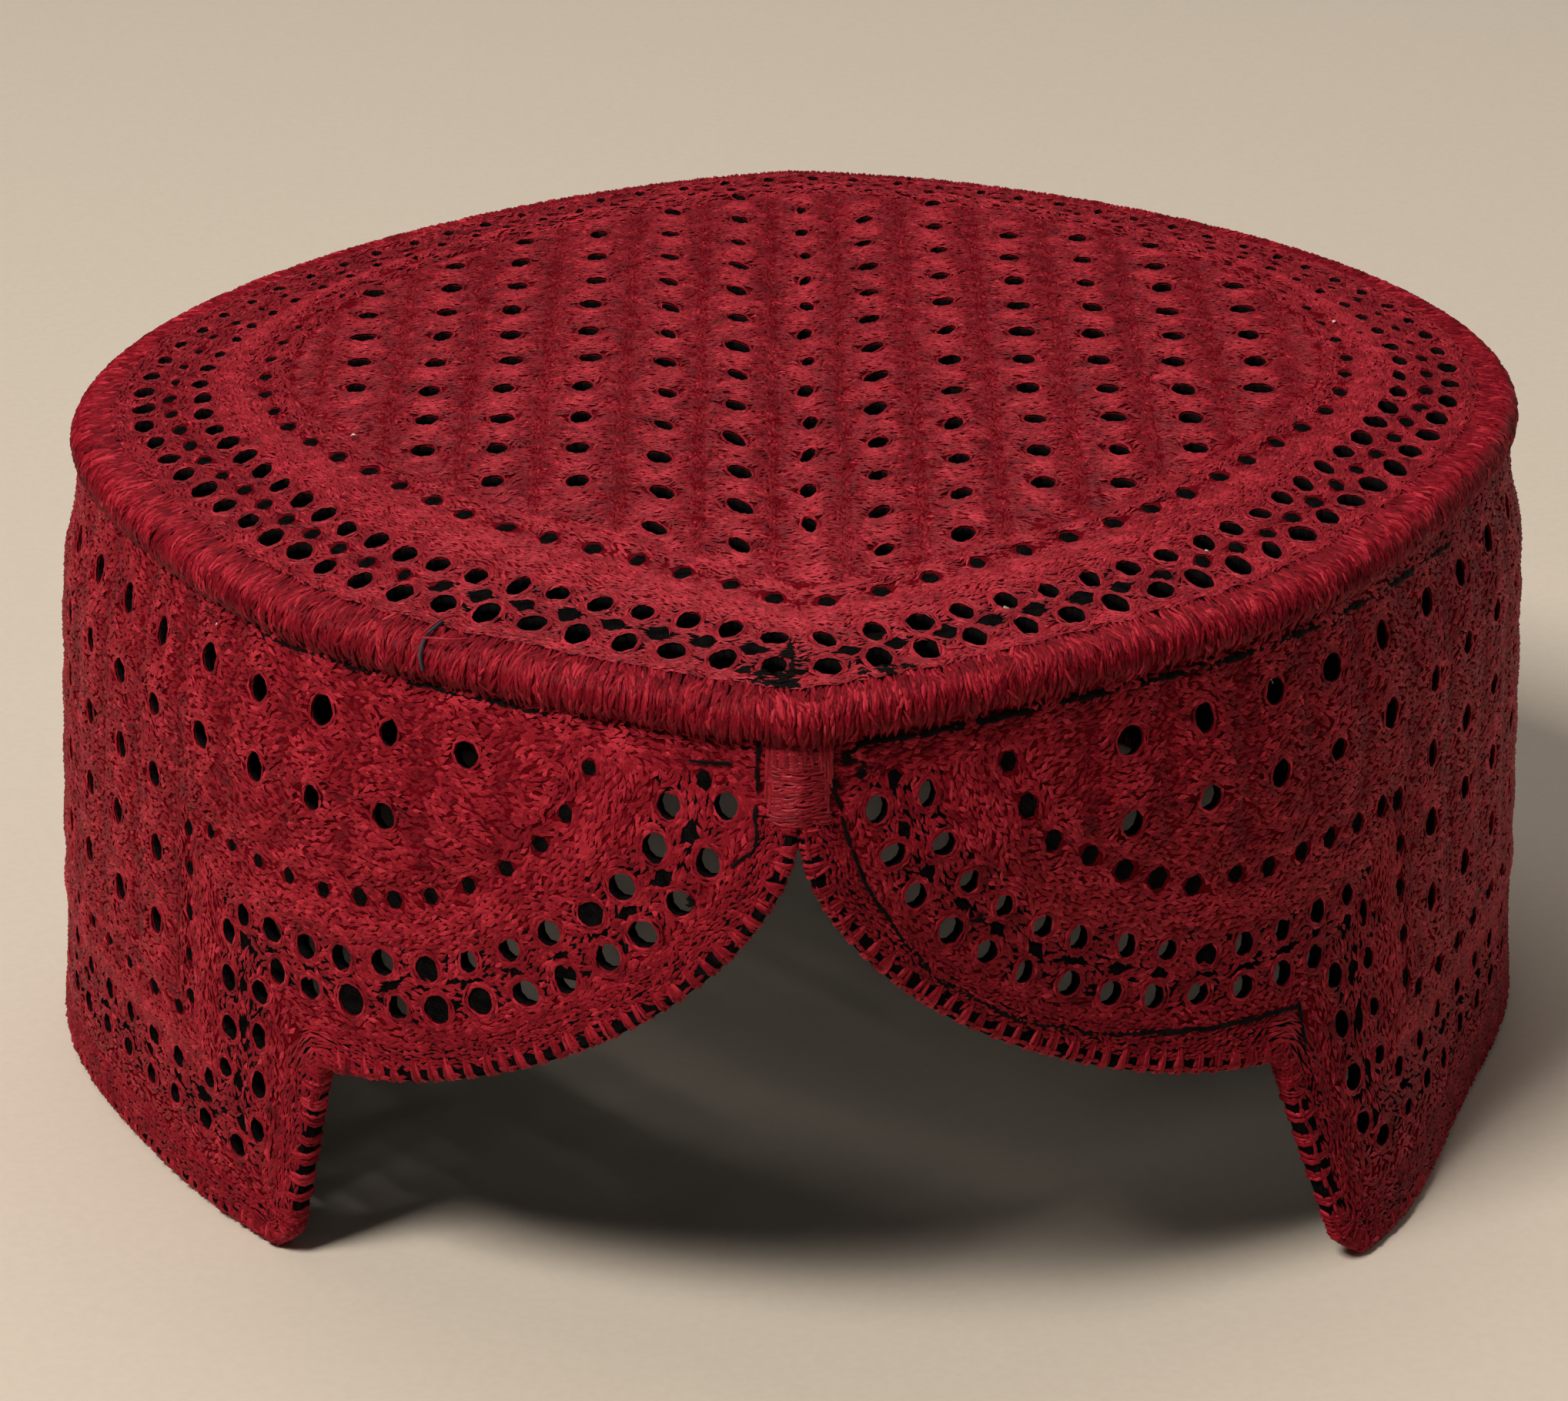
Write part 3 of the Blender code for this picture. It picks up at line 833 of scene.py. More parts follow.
def part_round(lines, eyelets):
    """Lines bent sideways round the eyelets that they would cross, and which of them to keep.

    In an eyelet's own half sizes, with s along the line and t across it, t grows to the cube root of
    |t|^3 + g^3, where g is the half chord at s of a circle a little larger than the eyelet. A line
    through the eyelet's middle is left out.
    """
    near = eyelets[nearest_eyelet(lines, eyelets)]
    place = in_eyelet(lines - near[..., :2], near)
    heading = unit(in_eyelet((lines[:, -1:] - lines[:, :1]) * np.ones((1, lines.shape[1], 1)), near))
    s = np.sum(place * heading, axis=-1)
    t = place[..., 1] * heading[..., 0] - place[..., 0] * heading[..., 1]
    chord = EYELET_CLEARANCE[0] * np.sqrt(np.clip(1 - (s / EYELET_CLEARANCE[1]) ** 2, 0, 1))
    parted = np.where(t < 0, -1, 1) * (np.abs(t) ** 3 + chord**3) ** (1 / 3)
    square = np.stack([-heading[..., 1], heading[..., 0]], axis=-1)
    moved = s[..., None] * heading + parted[..., None] * square
    keep = ~np.any((np.abs(t) < EYELET_MIDDLE[0]) & (np.abs(s) < EYELET_MIDDLE[1]), axis=1)
    return near[..., :2] + out_of_eyelet(moved, near), keep


def stitches_along(path, stitch, offset=0.0):
    """Places and headings of one row of stitches, end to end along a path with a ragged rhythm."""
    length, _, spacing = stitch
    total = lengths_along(path)[-1]
    step = STITCH_STEP * length
    at = np.arange(offset * step, total, step)
    at = np.clip(at + RANDOM.normal(0, 0.20 * step, len(at)), 0.3, total - 0.3)
    places = along_path(path, at)
    ahead = along_path(path, np.minimum(at + 0.6, total)) - along_path(path, np.maximum(at - 0.6, 0))
    heading = np.arctan2(ahead[:, 1], ahead[:, 0])
    places = places + RANDOM.normal(0, 0.30 * spacing, places.shape)
    return places, heading


def level_rows(low, high, stitch):
    """Places of rows of stitches that fill a box of places, laid like bricks along its first axis."""
    length, _, spacing = stitch
    rows = np.arange(low[1], high[1], spacing)
    steps = np.arange(low[0], high[0], STITCH_STEP * length)
    x = steps[None, :] + RANDOM.uniform(0, STITCH_STEP * length, (len(rows), 1))
    x = x + RANDOM.normal(0, 0.20 * length, x.shape)
    y = rows[:, None] + RANDOM.normal(0, 0.30 * spacing, x.shape)
    return np.column_stack([x.ravel(), y.ravel()])


def sewn(surface, relief, tone, eyelets, places, heading, stitch, wobble=0.30, spread=0.10, rise=0.12):
    """Stitches at places on a surface, opened round its eyelets and lying on its relief. They turn
    together in soft patches, and differ from each other by the wobble, spread and rise."""
    length, width, _ = stitch
    count = len(places)
    heading = heading + 0.35 * blotch(*places.T, 1.9) + RANDOM.normal(0, wobble, count)
    lines = straight_lines(places, heading, length * RANDOM.uniform(0.6, 1.3, count), 3, 0.09)
    lines, keep = part_round(lines, eyelets)
    lines = lines[keep]
    count = len(lines)
    lift = relief(lines, eyelets) + RANDOM.uniform(0, rise, (count, 1))
    width = width * RANDOM.uniform(0.75, 1.25, count)
    shade = pile_shade(lines[:, 1], tone, spread)
    return thread_shape(surface, lines, width, lift, shade)


def in_black_band(level):
    """Which rows or rings lie in the band where the cloth under the stitches is black."""
    return (level > BLACK_BAND[0]) & (level < BLACK_BAND[1])


def thinned(places, headings, share, amount):
    """Places and headings with some dropped at random: up to the amount, where share is 1."""
    kept = RANDOM.uniform(0, 1, len(places)) > amount * share
    return places[kept], headings[kept]


def marked(surface, path, width, raised):
    """Black stitches end to end along a path, a little proud of the pile and broken here and there."""
    places, heading = stitches_along(path, (1.7, width, 0.25))
    kept = RANDOM.uniform(0, 1, len(places)) < 0.92
    places, heading = places[kept], heading[kept] + RANDOM.normal(0, 0.06, kept.sum())
    lines = straight_lines(places, heading, RANDOM.uniform(1.6, 2.7, len(places)), 4)
    count = len(lines)
    lift = raised + RANDOM.uniform(-0.05, 0.05, (count, 1))
    shade = random_shade(0.3, 0.2, count)
    return thread_shape(surface, lines, width * RANDOM.uniform(0.7, 1.3, count), lift, shade)


def patched(surface, place, reach, raised):
    """A small tangle of black stitches that fills a round patch."""
    count = int(5 + 7 * reach)
    places = place + RANDOM.normal(0, 0.45 * reach, (count, 2))
    lines = straight_lines(places, RANDOM.uniform(-0.5, 0.5, count), RANDOM.uniform(0.9, 1.7, count) * reach)
    lift = raised + RANDOM.uniform(-0.05, 0.05, (count, 1))
    shade = random_shade(0.3, 0.2, count)
    return thread_shape(surface, lines, np.full(count, 0.42), lift, shade)


def rim_rings(surface, relief, tone, eyelets, around, width, raised, away=0.0):
    """Short stitches laid round each eyelet like the links of a ring, just outside its rim."""
    count = len(eyelets) * around
    eyelet = np.repeat(eyelets, around, axis=0)[:, None]
    at = np.tile(np.arange(around), len(eyelets)) / around * math.tau + RANDOM.normal(0, 0.10, count)
    spread = math.tau / around * RANDOM.uniform(0.9, 1.4, count)
    angle = at[:, None] + spread[:, None] * np.array([-1, 0, 1])
    gap = away + 0.3 * width + RANDOM.normal(0, 0.08, (count, 1)) + RANDOM.normal(0, 0.05, (count, 3))
    outside = 1 + gap / eyelet[..., 2:4].mean(axis=-1)
    ring = np.stack([outside * np.cos(angle), outside * np.sin(angle)], axis=-1)
    lines = eyelet[..., :2] + out_of_eyelet(ring, eyelet * np.ones((1, 3, 1)))
    lift = relief(lines, eyelets) + raised + RANDOM.uniform(-0.05, 0.06, (count, 1))
    shade = pile_shade(lines[:, 1], tone, 0.10)
    return thread_shape(surface, lines, width * RANDOM.uniform(0.85, 1.2, count), lift, shade)


# Meshes and pieces


def finished_mesh(name, shape):
    """A smooth mesh of a shape's points, triangles and quads, with its UV map and shade."""
    triangles, quads = shape["triangles"], shape["quads"]
    corners = np.concatenate([triangles.ravel(), quads.ravel()]).astype(np.int32)
    sizes = np.concatenate([np.full(len(triangles), 3), np.full(len(quads), 4)])
    mesh = bpy.data.meshes.new(name)
    mesh.vertices.add(len(shape["points"]))
    mesh.vertices.foreach_set("co", (shape["points"] * MM).astype(np.float32).ravel())
    mesh.loops.add(len(corners))
    mesh.loops.foreach_set("vertex_index", corners)
    mesh.polygons.add(len(sizes))
    mesh.polygons.foreach_set("loop_start", (np.cumsum(sizes) - sizes).astype(np.int32))
    mesh.update(calc_edges=True)
    mesh.uv_layers.new(name="thread").data.foreach_set("uv", shape["uv"][corners].astype(np.float32).ravel())
    attribute = mesh.attributes.new("shade", "FLOAT", "POINT")
    attribute.data.foreach_set("value", shape["shade"].astype(np.float32))
    mesh.shade_smooth()
    return mesh


def add_piece(name, mesh, materials):
    """Puts a mesh in the scene as a piece that rides on the cap, with the given materials."""
    piece = bpy.data.objects.new(name, mesh)
    bpy.context.scene.collection.objects.link(piece)
    for material in materials:
        mesh.materials.append(material)
    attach(piece, "root")
    return piece


def add_threads(name, shapes, material):
    """Puts shapes in the scene as one piece of thread."""
    return add_piece(name, finished_mesh(name, joined(shapes)), [material])


def inside(outline, places):
    """Which places lie inside a closed outline: those with an odd number of its sides to one side."""
    x, y = places[:, :1], places[:, 1:]
    a, b = outline, np.roll(outline, -1, axis=0)
    crosses = (a[:, 1] > y) != (b[:, 1] > y)
    rise = np.where(a[:, 1] == b[:, 1], 1.0, b[:, 1] - a[:, 1])
    at = a[:, 0] + (y - a[:, 1]) / rise * (b[:, 0] - a[:, 0])
    return np.sum(crosses & (x < at), axis=1) % 2 == 1


def outline_distance(outline, places):
    """Distance from places to the nearest side of a closed outline."""
    a, b = outline, np.roll(outline, -1, axis=0)
    side = b - a
    share = np.sum((places[:, None] - a) * side, axis=-1) / np.sum(side * side, axis=-1)
    foot = a + np.clip(share, 0, 1)[..., None] * side
    return np.linalg.norm(places[:, None] - foot, axis=-1).min(axis=1)


CLOTH_THICKNESS = 1.6
CLOTH_PITCH = 3.0
CLOTH_SINK = 0.06
RIM_SINK = 0.10
OPEN_CORNERS = 10
CLOSED_CORNERS = 6


def eyelet_rims(eyelets, corners):
    """Corners spaced evenly round each eyelet, just inside its rim, and the eyelet of each."""
    owner = np.repeat(np.arange(len(eyelets)), corners)
    step = np.concatenate([np.arange(n) / n for n in corners]) * math.tau
    rim = np.stack([np.cos(step), np.sin(step)], axis=-1) * 0.97
    return eyelets[owner, :2] + out_of_eyelet(rim, eyelets[owner]), owner


def loose_grid(outline, eyelets):
    """Places in rows of loose triangles inside an outline, clear of it and of the eyelets."""
    low, high = outline.min(axis=0), outline.max(axis=0)
    rows = np.arange(low[1], high[1], CLOTH_PITCH * 0.87)
    shift = (np.arange(len(rows)) % 2)[:, None] * CLOTH_PITCH / 2
    x = np.arange(low[0], high[0], CLOTH_PITCH)[None] + shift
    grid = np.column_stack([x.ravel(), np.repeat(rows, x.shape[1])])
    grid = grid + RANDOM.normal(0, 0.18, grid.shape)
    grid = grid[inside(outline, grid)]
    grid = grid[outline_distance(outline, grid) > 1.0]
    near = eyelets[nearest_eyelet(grid, eyelets)]
    clear = np.hypot(*(grid - near[:, :2]).T) - near[:, 2:4].mean(axis=1)
    return grid[clear > 0.9]


def triangulated(outline, rims, corners, grid):
    """Triangles between an outline, rims with the given numbers of corners, and loose places: the
    points, the faces inside the outline, and which corner of the rims each point is, or -1."""
    edge = np.arange(len(outline))
    ends = np.concatenate([[0], np.cumsum(corners)])[:-1]
    following = np.arange(len(rims)) + 1
    following[ends + corners - 1] = ends
    ring = np.column_stack([np.arange(len(rims)), following])
    sides = np.vstack([np.column_stack([edge, np.roll(edge, -1)]), len(outline) + ring])
    places = np.vstack([outline, rims, grid])
    result = delaunay_2d_cdt(places.tolist(), sides.tolist(), [], 0, 1e-5)
    points, faces = np.array([tuple(place) for place in result[0]]), np.array(result[2])
    corner = np.array([given[0] if given else 0 for given in result[3]]) - len(outline)
    corner[(corner < 0) | (corner >= len(rims))] = -1
    return points, faces[inside(outline, points[faces].mean(axis=1))], corner


def pierced_cloth(name, surface, relief, outline, opened, closed, bare):
    """The cloth under the stitching: triangles between its outline, the eyelets' rims and a loose
    grid, raised by the relief, open at the open eyelets and black at the closed ones and where the
    function bare says so."""
    eyelets = np.vstack([opened, closed])
    corners = np.where(np.arange(len(eyelets)) < len(opened), OPEN_CORNERS, CLOSED_CORNERS)
    rims, owner = eyelet_rims(eyelets, corners)
    made, faces, corner = triangulated(outline, rims, corners, loose_grid(outline, eyelets))
    belongs = np.where(corner < 0, -1, owner[corner])
    group = belongs[faces]
    same = (group[:, 0] >= 0) & (group[:, 0] == group[:, 1]) & (group[:, 1] == group[:, 2])
    kept = ~(same & (group[:, 0] < len(opened)))
    faces, same = faces[kept], same[kept]

    a, b, c = made[faces].transpose(1, 0, 2)
    turned = (b[:, 0] - a[:, 0]) * (c[:, 1] - a[:, 1]) < (b[:, 1] - a[:, 1]) * (c[:, 0] - a[:, 0])
    faces[turned] = faces[turned][:, ::-1]
    black = same | bare(made[faces].mean(axis=1))
    lift = np.where(belongs >= 0, -RIM_SINK, relief(made, eyelets) - CLOTH_SINK)
    points, _ = on_surface(surface, made, lift)
    shape = {
        "points": points,
        "triangles": faces,
        "quads": np.empty((0, 4), int),
        "uv": made,
        "shade": np.zeros(len(made)),
    }
    mesh = finished_mesh(name, shape)
    mesh.polygons.foreach_set("material_index", black.astype(np.int32))
    piece = add_piece(name, mesh, [UNDERLAY, BLACK_LINING, BLACK_LINING])
    solid = piece.modifiers.new("Thickness", "SOLIDIFY")
    solid.thickness = CLOTH_THICKNESS * MM
    solid.offset = -1
    solid.material_offset = 1
    solid.material_offset_rim = 1
    return piece


# Materials


def add_node(tree, kind, inputs=None, **settings):
    """A shader node with its settings, whose inputs are linked to sockets or given values."""
    node = tree.nodes.new(kind)
    for name, value in settings.items():
        setattr(node, name, value)
    for name, value in (inputs or {}).items():
        if isinstance(value, bpy.types.NodeSocket):
            tree.links.new(value, node.inputs[name])
        else:
            node.inputs[name].default_value = value
    return node


def new_group(name, inputs, outputs):
    """An empty shader group with the named inputs (name, kind, value) and outputs (name, kind)."""
    group = bpy.data.node_groups.new(name, "ShaderNodeTree")
    for label, kind, value in inputs:
        socket = group.interface.new_socket(label, in_out="INPUT", socket_type=kind)
        if value is not None:
            socket.default_value = value
    for label, kind in outputs:
        group.interface.new_socket(label, in_out="OUTPUT", socket_type=kind)
    start = group.nodes.new("NodeGroupInput")
    end = group.nodes.new("NodeGroupOutput")
    return group, start.outputs, end.inputs


def math_node(tree, operation, *values):
    """The output of a Math node."""
    return add_node(tree, "ShaderNodeMath", dict(enumerate(values)), operation=operation).outputs[0]


def fibre_group():
    """Fine lines along a thread: noise drawn out along the first axis of the place."""
    vector, number = "NodeSocketVector", "NodeSocketFloat"
    group, given, out = new_group(
        "fibre lines",
        [("Place", vector, None), ("Along", number, 1.8), ("Across", number, 6.0)],
        [("Lines", number)],
    )
    place = add_node(group, "ShaderNodeSeparateXYZ", {0: given["Place"]}).outputs
    along = math_node(group, "MULTIPLY", place[0], given["Along"])
    across = math_node(group, "MULTIPLY", place[1], given["Across"])
    drawn = add_node(group, "ShaderNodeCombineXYZ", {0: along, 1: across}).outputs[0]
    noise = add_node(
        group, "ShaderNodeTexNoise", {"Vector": drawn, "Scale": 1.0, "Detail": 2.5, "Roughness": 0.6}
    )
    group.links.new(noise.outputs[0], out["Lines"])
    return group


def weave_group():
    """A plain weave: warp and weft ridges that take turns to lie on top, with a little slub."""
    vector, number = "NodeSocketVector", "NodeSocketFloat"
    group, given, out = new_group(
        "plain weave",
        [("Place", vector, None), ("Threads", number, 2.2)],
        [("Height", number), ("Slub", number)],
    )
    place = add_node(group, "ShaderNodeSeparateXYZ", {0: given["Place"]}).outputs
    scale = math_node(group, "MULTIPLY", given["Threads"], math.pi)
    warp = math_node(group, "SINE", math_node(group, "MULTIPLY", place[0], scale))
    weft = math_node(group, "SINE", math_node(group, "MULTIPLY", place[1], scale))
    over = math_node(group, "GREATER_THAN", math_node(group, "MULTIPLY", warp, weft), 0.0)
    raised = add_node(
        group,
        "ShaderNodeMix",
        {0: over, 2: math_node(group, "ABSOLUTE", warp), 3: math_node(group, "ABSOLUTE", weft)},
    ).outputs[0]
    slub = add_node(
        group, "ShaderNodeTexNoise", {"Vector": given["Place"], "Scale": 0.8, "Detail": 4.0}
    ).outputs[0]
    group.links.new(raised, out["Height"])
    group.links.new(slub, out["Slub"])
    return group


def new_material(name):
    """A material with only its Principled shader and output."""
    material = bpy.data.materials.new(name)
    material.use_nodes = True
    return material, material.node_tree, material.node_tree.nodes["Principled BSDF"]


def colour_ramp(tree, factor, stops):
    """A colour ramp through (position, colour) stops."""
    ramp = add_node(tree, "ShaderNodeValToRGB", {0: factor})
    elements = ramp.color_ramp.elements
    while len(elements) < len(stops):
        elements.new(0.5)
    for element, (position, colour) in zip(elements, stops):
        element.position, element.color = position, colour
    return ramp.outputs[0]


def set_bump(tree, shader, height, strength, distance):
    """A Bump node from a height to the shader's normal."""
    bumped = add_node(
        tree, "ShaderNodeBump", {"Height": height, "Strength": strength, "Distance": distance * MM}
    )
    tree.links.new(bumped.outputs[0], shader.inputs["Normal"])


def silk_thread(name, stops, roughness, shine, sheen, tint, gloss=(1, 1, 1, 1)):
    """Stranded floss: a colour for each thread from its shade, fine lines along it, and a soft gloss."""
    material, tree, shader = new_material(name)
    place = add_node(tree, "ShaderNodeUVMap", uv_map="thread").outputs[0]
    lines = add_node(tree, "ShaderNodeGroup", {}, node_tree=FIBRE)
    tree.links.new(place, lines.inputs["Place"])
    shade = add_node(tree, "ShaderNodeAttribute", attribute_name="shade").outputs["Fac"]
    shift = math_node(tree, "MULTIPLY_ADD", lines.outputs[0], 0.9, -0.45)
    colour = colour_ramp(tree, math_node(tree, "ADD", shade, shift), stops)
    tree.links.new(colour, shader.inputs["Base Color"])
    rough = math_node(tree, "MULTIPLY_ADD", lines.outputs[0], 0.20, roughness - 0.10)
    tree.links.new(rough, shader.inputs["Roughness"])
    set_bump(tree, shader, lines.outputs[0], 0.5, 0.05)
    shader.inputs["Specular IOR Level"].default_value = shine
    shader.inputs["Specular Tint"].default_value = gloss
    shader.inputs["Sheen Weight"].default_value = sheen
    shader.inputs["Sheen Roughness"].default_value = 0.45
    shader.inputs["Sheen Tint"].default_value = tint
    return material


def woven_cloth(name, dark, light, threads, flat, roughness=0.85):
    """Plain dull cloth: its weave raised, and its colour a little lighter on the slubs. Its threads
    run along the piece's own flat pattern, or else along the cap's width and length."""
    material, tree, shader = new_material(name)
    if flat:
        place = add_node(tree, "ShaderNodeUVMap", uv_map="thread").outputs[0]
    else:
        solid = add_node(tree, "ShaderNodeTexCoord").outputs["Object"]
        place = add_node(tree, "ShaderNodeMapping", {0: solid, "Scale": (1000, 1000, 1000)}).outputs[0]
    weave = add_node(tree, "ShaderNodeGroup", {}, node_tree=WEAVE)
    tree.links.new(place, weave.inputs["Place"])
    weave.inputs["Threads"].default_value = threads
    colour = colour_ramp(tree, weave.outputs["Slub"], [(0.35, dark), (0.75, light)])
    tree.links.new(colour, shader.inputs["Base Color"])
    set_bump(tree, shader, weave.outputs["Height"], 0.6, 0.12)
    rough = math_node(tree, "MULTIPLY_ADD", weave.outputs["Slub"], 0.2, roughness - 0.1)
    tree.links.new(rough, shader.inputs["Roughness"])
    shader.inputs["Specular IOR Level"].default_value = 0.0
    return material


FIBRE = fibre_group()
WEAVE = weave_group()
CRIMSON_STOPS = [(0.05, CRIMSON_DARK), (0.50, CRIMSON_MIDDLE), (0.95, CRIMSON_LIGHT)]
CRIMSON_FLOSSES = (  # name, roughness, shine, sheen, colour of the gloss
    ("crimson floss", 0.40, 0.30, 0.02, (1.0, 0.55, 0.60, 1)),
    ("crimson floss, bright", 0.40, 0.11, 0.00, (1.0, 0.34, 0.38, 1)),
    ("crimson floss, worn", 0.46, 0.10, 0.01, (1.0, 0.55, 0.60, 1)),
)
CRIMSON, CRIMSON_BRIGHT, CRIMSON_MATT = [
    silk_thread(name, CRIMSON_STOPS, roughness, shine, sheen, (1.0, 0.25, 0.30, 1), gloss)
    for name, roughness, shine, sheen, gloss in CRIMSON_FLOSSES
]
BLACK_STOPS = [(0.1, BLACK_CLOTH), (0.9, BLACK_CLOTH_LIGHT)]
BLACK_THREAD = silk_thread("black thread", BLACK_STOPS, 0.70, 0.05, 0.0, (0.7, 0.7, 0.7, 1))
BLUE_STOPS = [(0.1, BLUE_DARK), (0.9, BLUE_GREY)]
BLUE_THREAD = silk_thread("blue-grey thread", BLUE_STOPS, 0.55, 0.25, 0.20, (0.7, 0.8, 1.0, 1))
UNDERLAY = woven_cloth("crimson underlay", UNDERLAY_RED, CRIMSON_DARK, 2.6, True, 0.9)
BLACK_LINING = woven_cloth("black cloth", BLACK_CLOTH, BLACK_CLOTH_LIGHT, 2.2, True)
BLACK_BINDING = woven_cloth("black binding", BLACK_CLOTH, BLACK_CLOTH_LIGHT, 2.2, False)
RED_CORE = woven_cloth("crimson core", UNDERLAY_RED, CRIMSON_DARK, 3.0, False, 0.8)
LINT = woven_cloth("lint", LINT_WHITE, LINT_WHITE, 3.0, True)


# The crown


def crown_flow(places):
    """Heading of the field's stitches: across the columns, slanted one way on the left half of each
    column and the other way on its right half, like a herringbone."""
    return 0.35 * np.sin(math.tau * column_at(places[:, 0]))


def in_slit(places):
    """Which places lie in the slit at the crown's front or in the torn corner beside it."""
    x, y = places.T
    corner = inside(np.array(TORN_CORNER), places)
    return ((np.abs(x - SLIT[0][0]) < 0.5) & (y < SLIT[0][1])) | corner


def crown_bare(places):
    """Where the crown's cloth is black: between the outer rings at the front, and about the torn
    corner."""
    x, y = places.T
    torn = (np.abs(x + 3.5) < 4.5) & (y < -87)
    return (in_black_band(crown_level(x, y)) & (y < -60)) | torn


def ring_stitches():
    """Places and headings of the rows of stitches that follow the rings, from the crown's edge to
    the field: fewer where the rings crowd, none in the slit, and thin in the front's honeycomb."""
    distances = np.arange(0.2, RINGS[1][FIELD_RING], CROWN_STITCH[2])
    levels = np.interp(distances, (0,) + RINGS[1][1:], np.arange(FIELD_RING + 1))
    crowding = RING_TABLE[FIELD_RING] / RINGS[1][FIELD_RING]
    places, headings = [], []
    for level in levels:
        for side in (-1, 1):
            place, heading = stitches_along(crown_ring(level, side), CROWN_STITCH, RANDOM.uniform())
            kept_share = 1.1 * np.interp(crown_angle(*place.T), ANGLE_TABLE, crowding)
            kept = RANDOM.uniform(0, 1, len(place)) < kept_share
            places.append(place[kept])
            headings.append(heading[kept])
    places, headings = np.vstack(places), np.concatenate(headings)
    slit = in_slit(places)
    places, headings = places[~slit], headings[~slit]
    honeycomb = bump(1.9, 1.3, crown_level(*places.T)) * smooth_step(-55, -85, places[:, 1])
    return thinned(places, headings, honeycomb, 0.45)


def field_stitches():
    """Places of the stitches across the puffed columns, and of those along the valleys between."""
    low, high = FIELD_BOX
    level = level_rows(low, high, CROWN_STITCH)
    upright = level_rows(low[::-1], high[::-1], CROWN_STITCH)[:, ::-1]
    puffs = level[(depth_in_field(*level.T) > -0.2) & (off_column(level[:, 0]) < 0.41)]
    valleys = upright[(depth_in_field(*upright.T) > 0) & (off_column(upright[:, 0]) > 0.37)]
    return puffs, valleys


def build_crown():
    """The crown's pierced cloth and its stitching, in a left and a right half, with its marks."""
    opened, closed = crown_eyelets()
    eyelets = np.vstack([opened, closed])
    angle = np.linspace(0, 360, 180, endpoint=False)
    radius = plan_radius(np.minimum(angle, 360 - angle)) - 0.2
    turn = np.radians(angle)
    outline = np.column_stack([radius * np.sin(turn), -radius * np.cos(turn)])
    cloth = pierced_cloth(
        "crown_cloth", crown_surface, crown_relief, outline, opened, closed, crown_bare
    )
    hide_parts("crown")

    rings = ring_stitches()
    puffs, valleys = field_stitches()
    groups = (  # places, headings, wobble, spread, rise
        (*rings, 0.24, 0.08, 0.10),
        (valleys, np.full(len(valleys), math.pi / 2), 0.10, 0.04, 0.05),
        (puffs, crown_flow(puffs), 0.22, 0.07, 0.10),
    )
    surfaces = (crown_surface, crown_relief, crown_tone_and_painted_light, eyelets)
    for side, name in ((-1, "crown_stitches_left"), (1, "crown_stitches_right")):
        shapes = []
        for place, heading, *differences in groups:
            half = place[:, 0] * side > 0
            shapes.append(sewn(*surfaces, place[half], heading[half], CROWN_STITCH, *differences))
        half = opened[opened[:, 0] * side > 0]
        shapes.append(rim_rings(*surfaces[:3], half, 12, 0.40, 0.14))
        large = half[crown_level(*half[:, :2].T) < INNER_RING + 1]
        shapes.append(rim_rings(*surfaces[:3], large, 14, 0.42, 0.12, 0.34))
        add_threads(name, shapes, CRIMSON)
    build_crown_marks()


def build_crown_marks():
    """Needle dots between the columns, darkest crimson specks that paint the shade of the needle
    holes, and the black cloth in the slit and the torn corner.
    """
    dots = []
    for _, x, first, last, count in COLUMNS:
        y = np.linspace(first, last, 2 * count - 1)[1::2]
        for aside in (-3.5, 3.5):
            row = np.column_stack([np.full(len(y), x + aside), y])
            dots.append(row + RANDOM.normal(0, 0.35, row.shape))
    dots = np.vstack(dots)
    lines = straight_lines(dots, RANDOM.uniform(0.6, 1.8, len(dots)), RANDOM.uniform(0.6, 1.2, len(dots)))
    # the needle dots take the darkest shade: painted shade of the needle holes
    shapes = [thread_shape(crown_surface, lines, np.full(len(dots), 0.5), 0.30, 0.0)]
    add_threads("crown_needle_dots", shapes, CRIMSON)

    shapes = [marked(crown_surface, np.array(SLIT), 0.5, 0.10) for _ in range(2)]
    for step in np.linspace(0.1, 0.9, 7):
        left, right, tip = np.array(TORN_CORNER)
        path = np.array([left + (tip - left) * step, right + (tip - right) * step])
        shapes.append(marked(crown_surface, path, 0.45, 0.06))
    for x, y, reach in CROWN_PATCHES:
        shapes.append(patched(crown_surface, np.array([x, y]), reach, 0.30))
    add_threads("crown_marks", shapes, BLACK_THREAD)


# The wall


CLOTH_TOP = 4.4
CLOTH_START = 2.9


def wall_outline():
    """Outline of one half of the wall's cloth, as (run, drop) rows: under the bar, along the inside of
    the binding, and back along the rim cord. The long level stretches have a point every few
    millimetres, to follow the wall's bend."""
    foot = inset(lower_edge(), EDGE_WIDTH - 0.5)[2:]
    length = lengths_along(foot)
    even = np.arange(length[-3], length[-1], 2.5)
    foot = along_path(foot, np.sort(np.concatenate([length, even[1:]])))
    top = np.linspace(BACK_RUN - GAP / 2, CLOTH_START, 90)
    top = np.column_stack([top, np.full(90, CLOTH_TOP)])
    return np.vstack([[(CLOTH_START, BAR_BOTTOM)], foot, top])


def wall_bare(places):
    """Where the wall's cloth is black: between the outer rows, below the band under the rim."""
    drop = -places[:, 1]
    return in_black_band(row_of(places[:, 0], drop)) & (drop > BAND_FOOT)


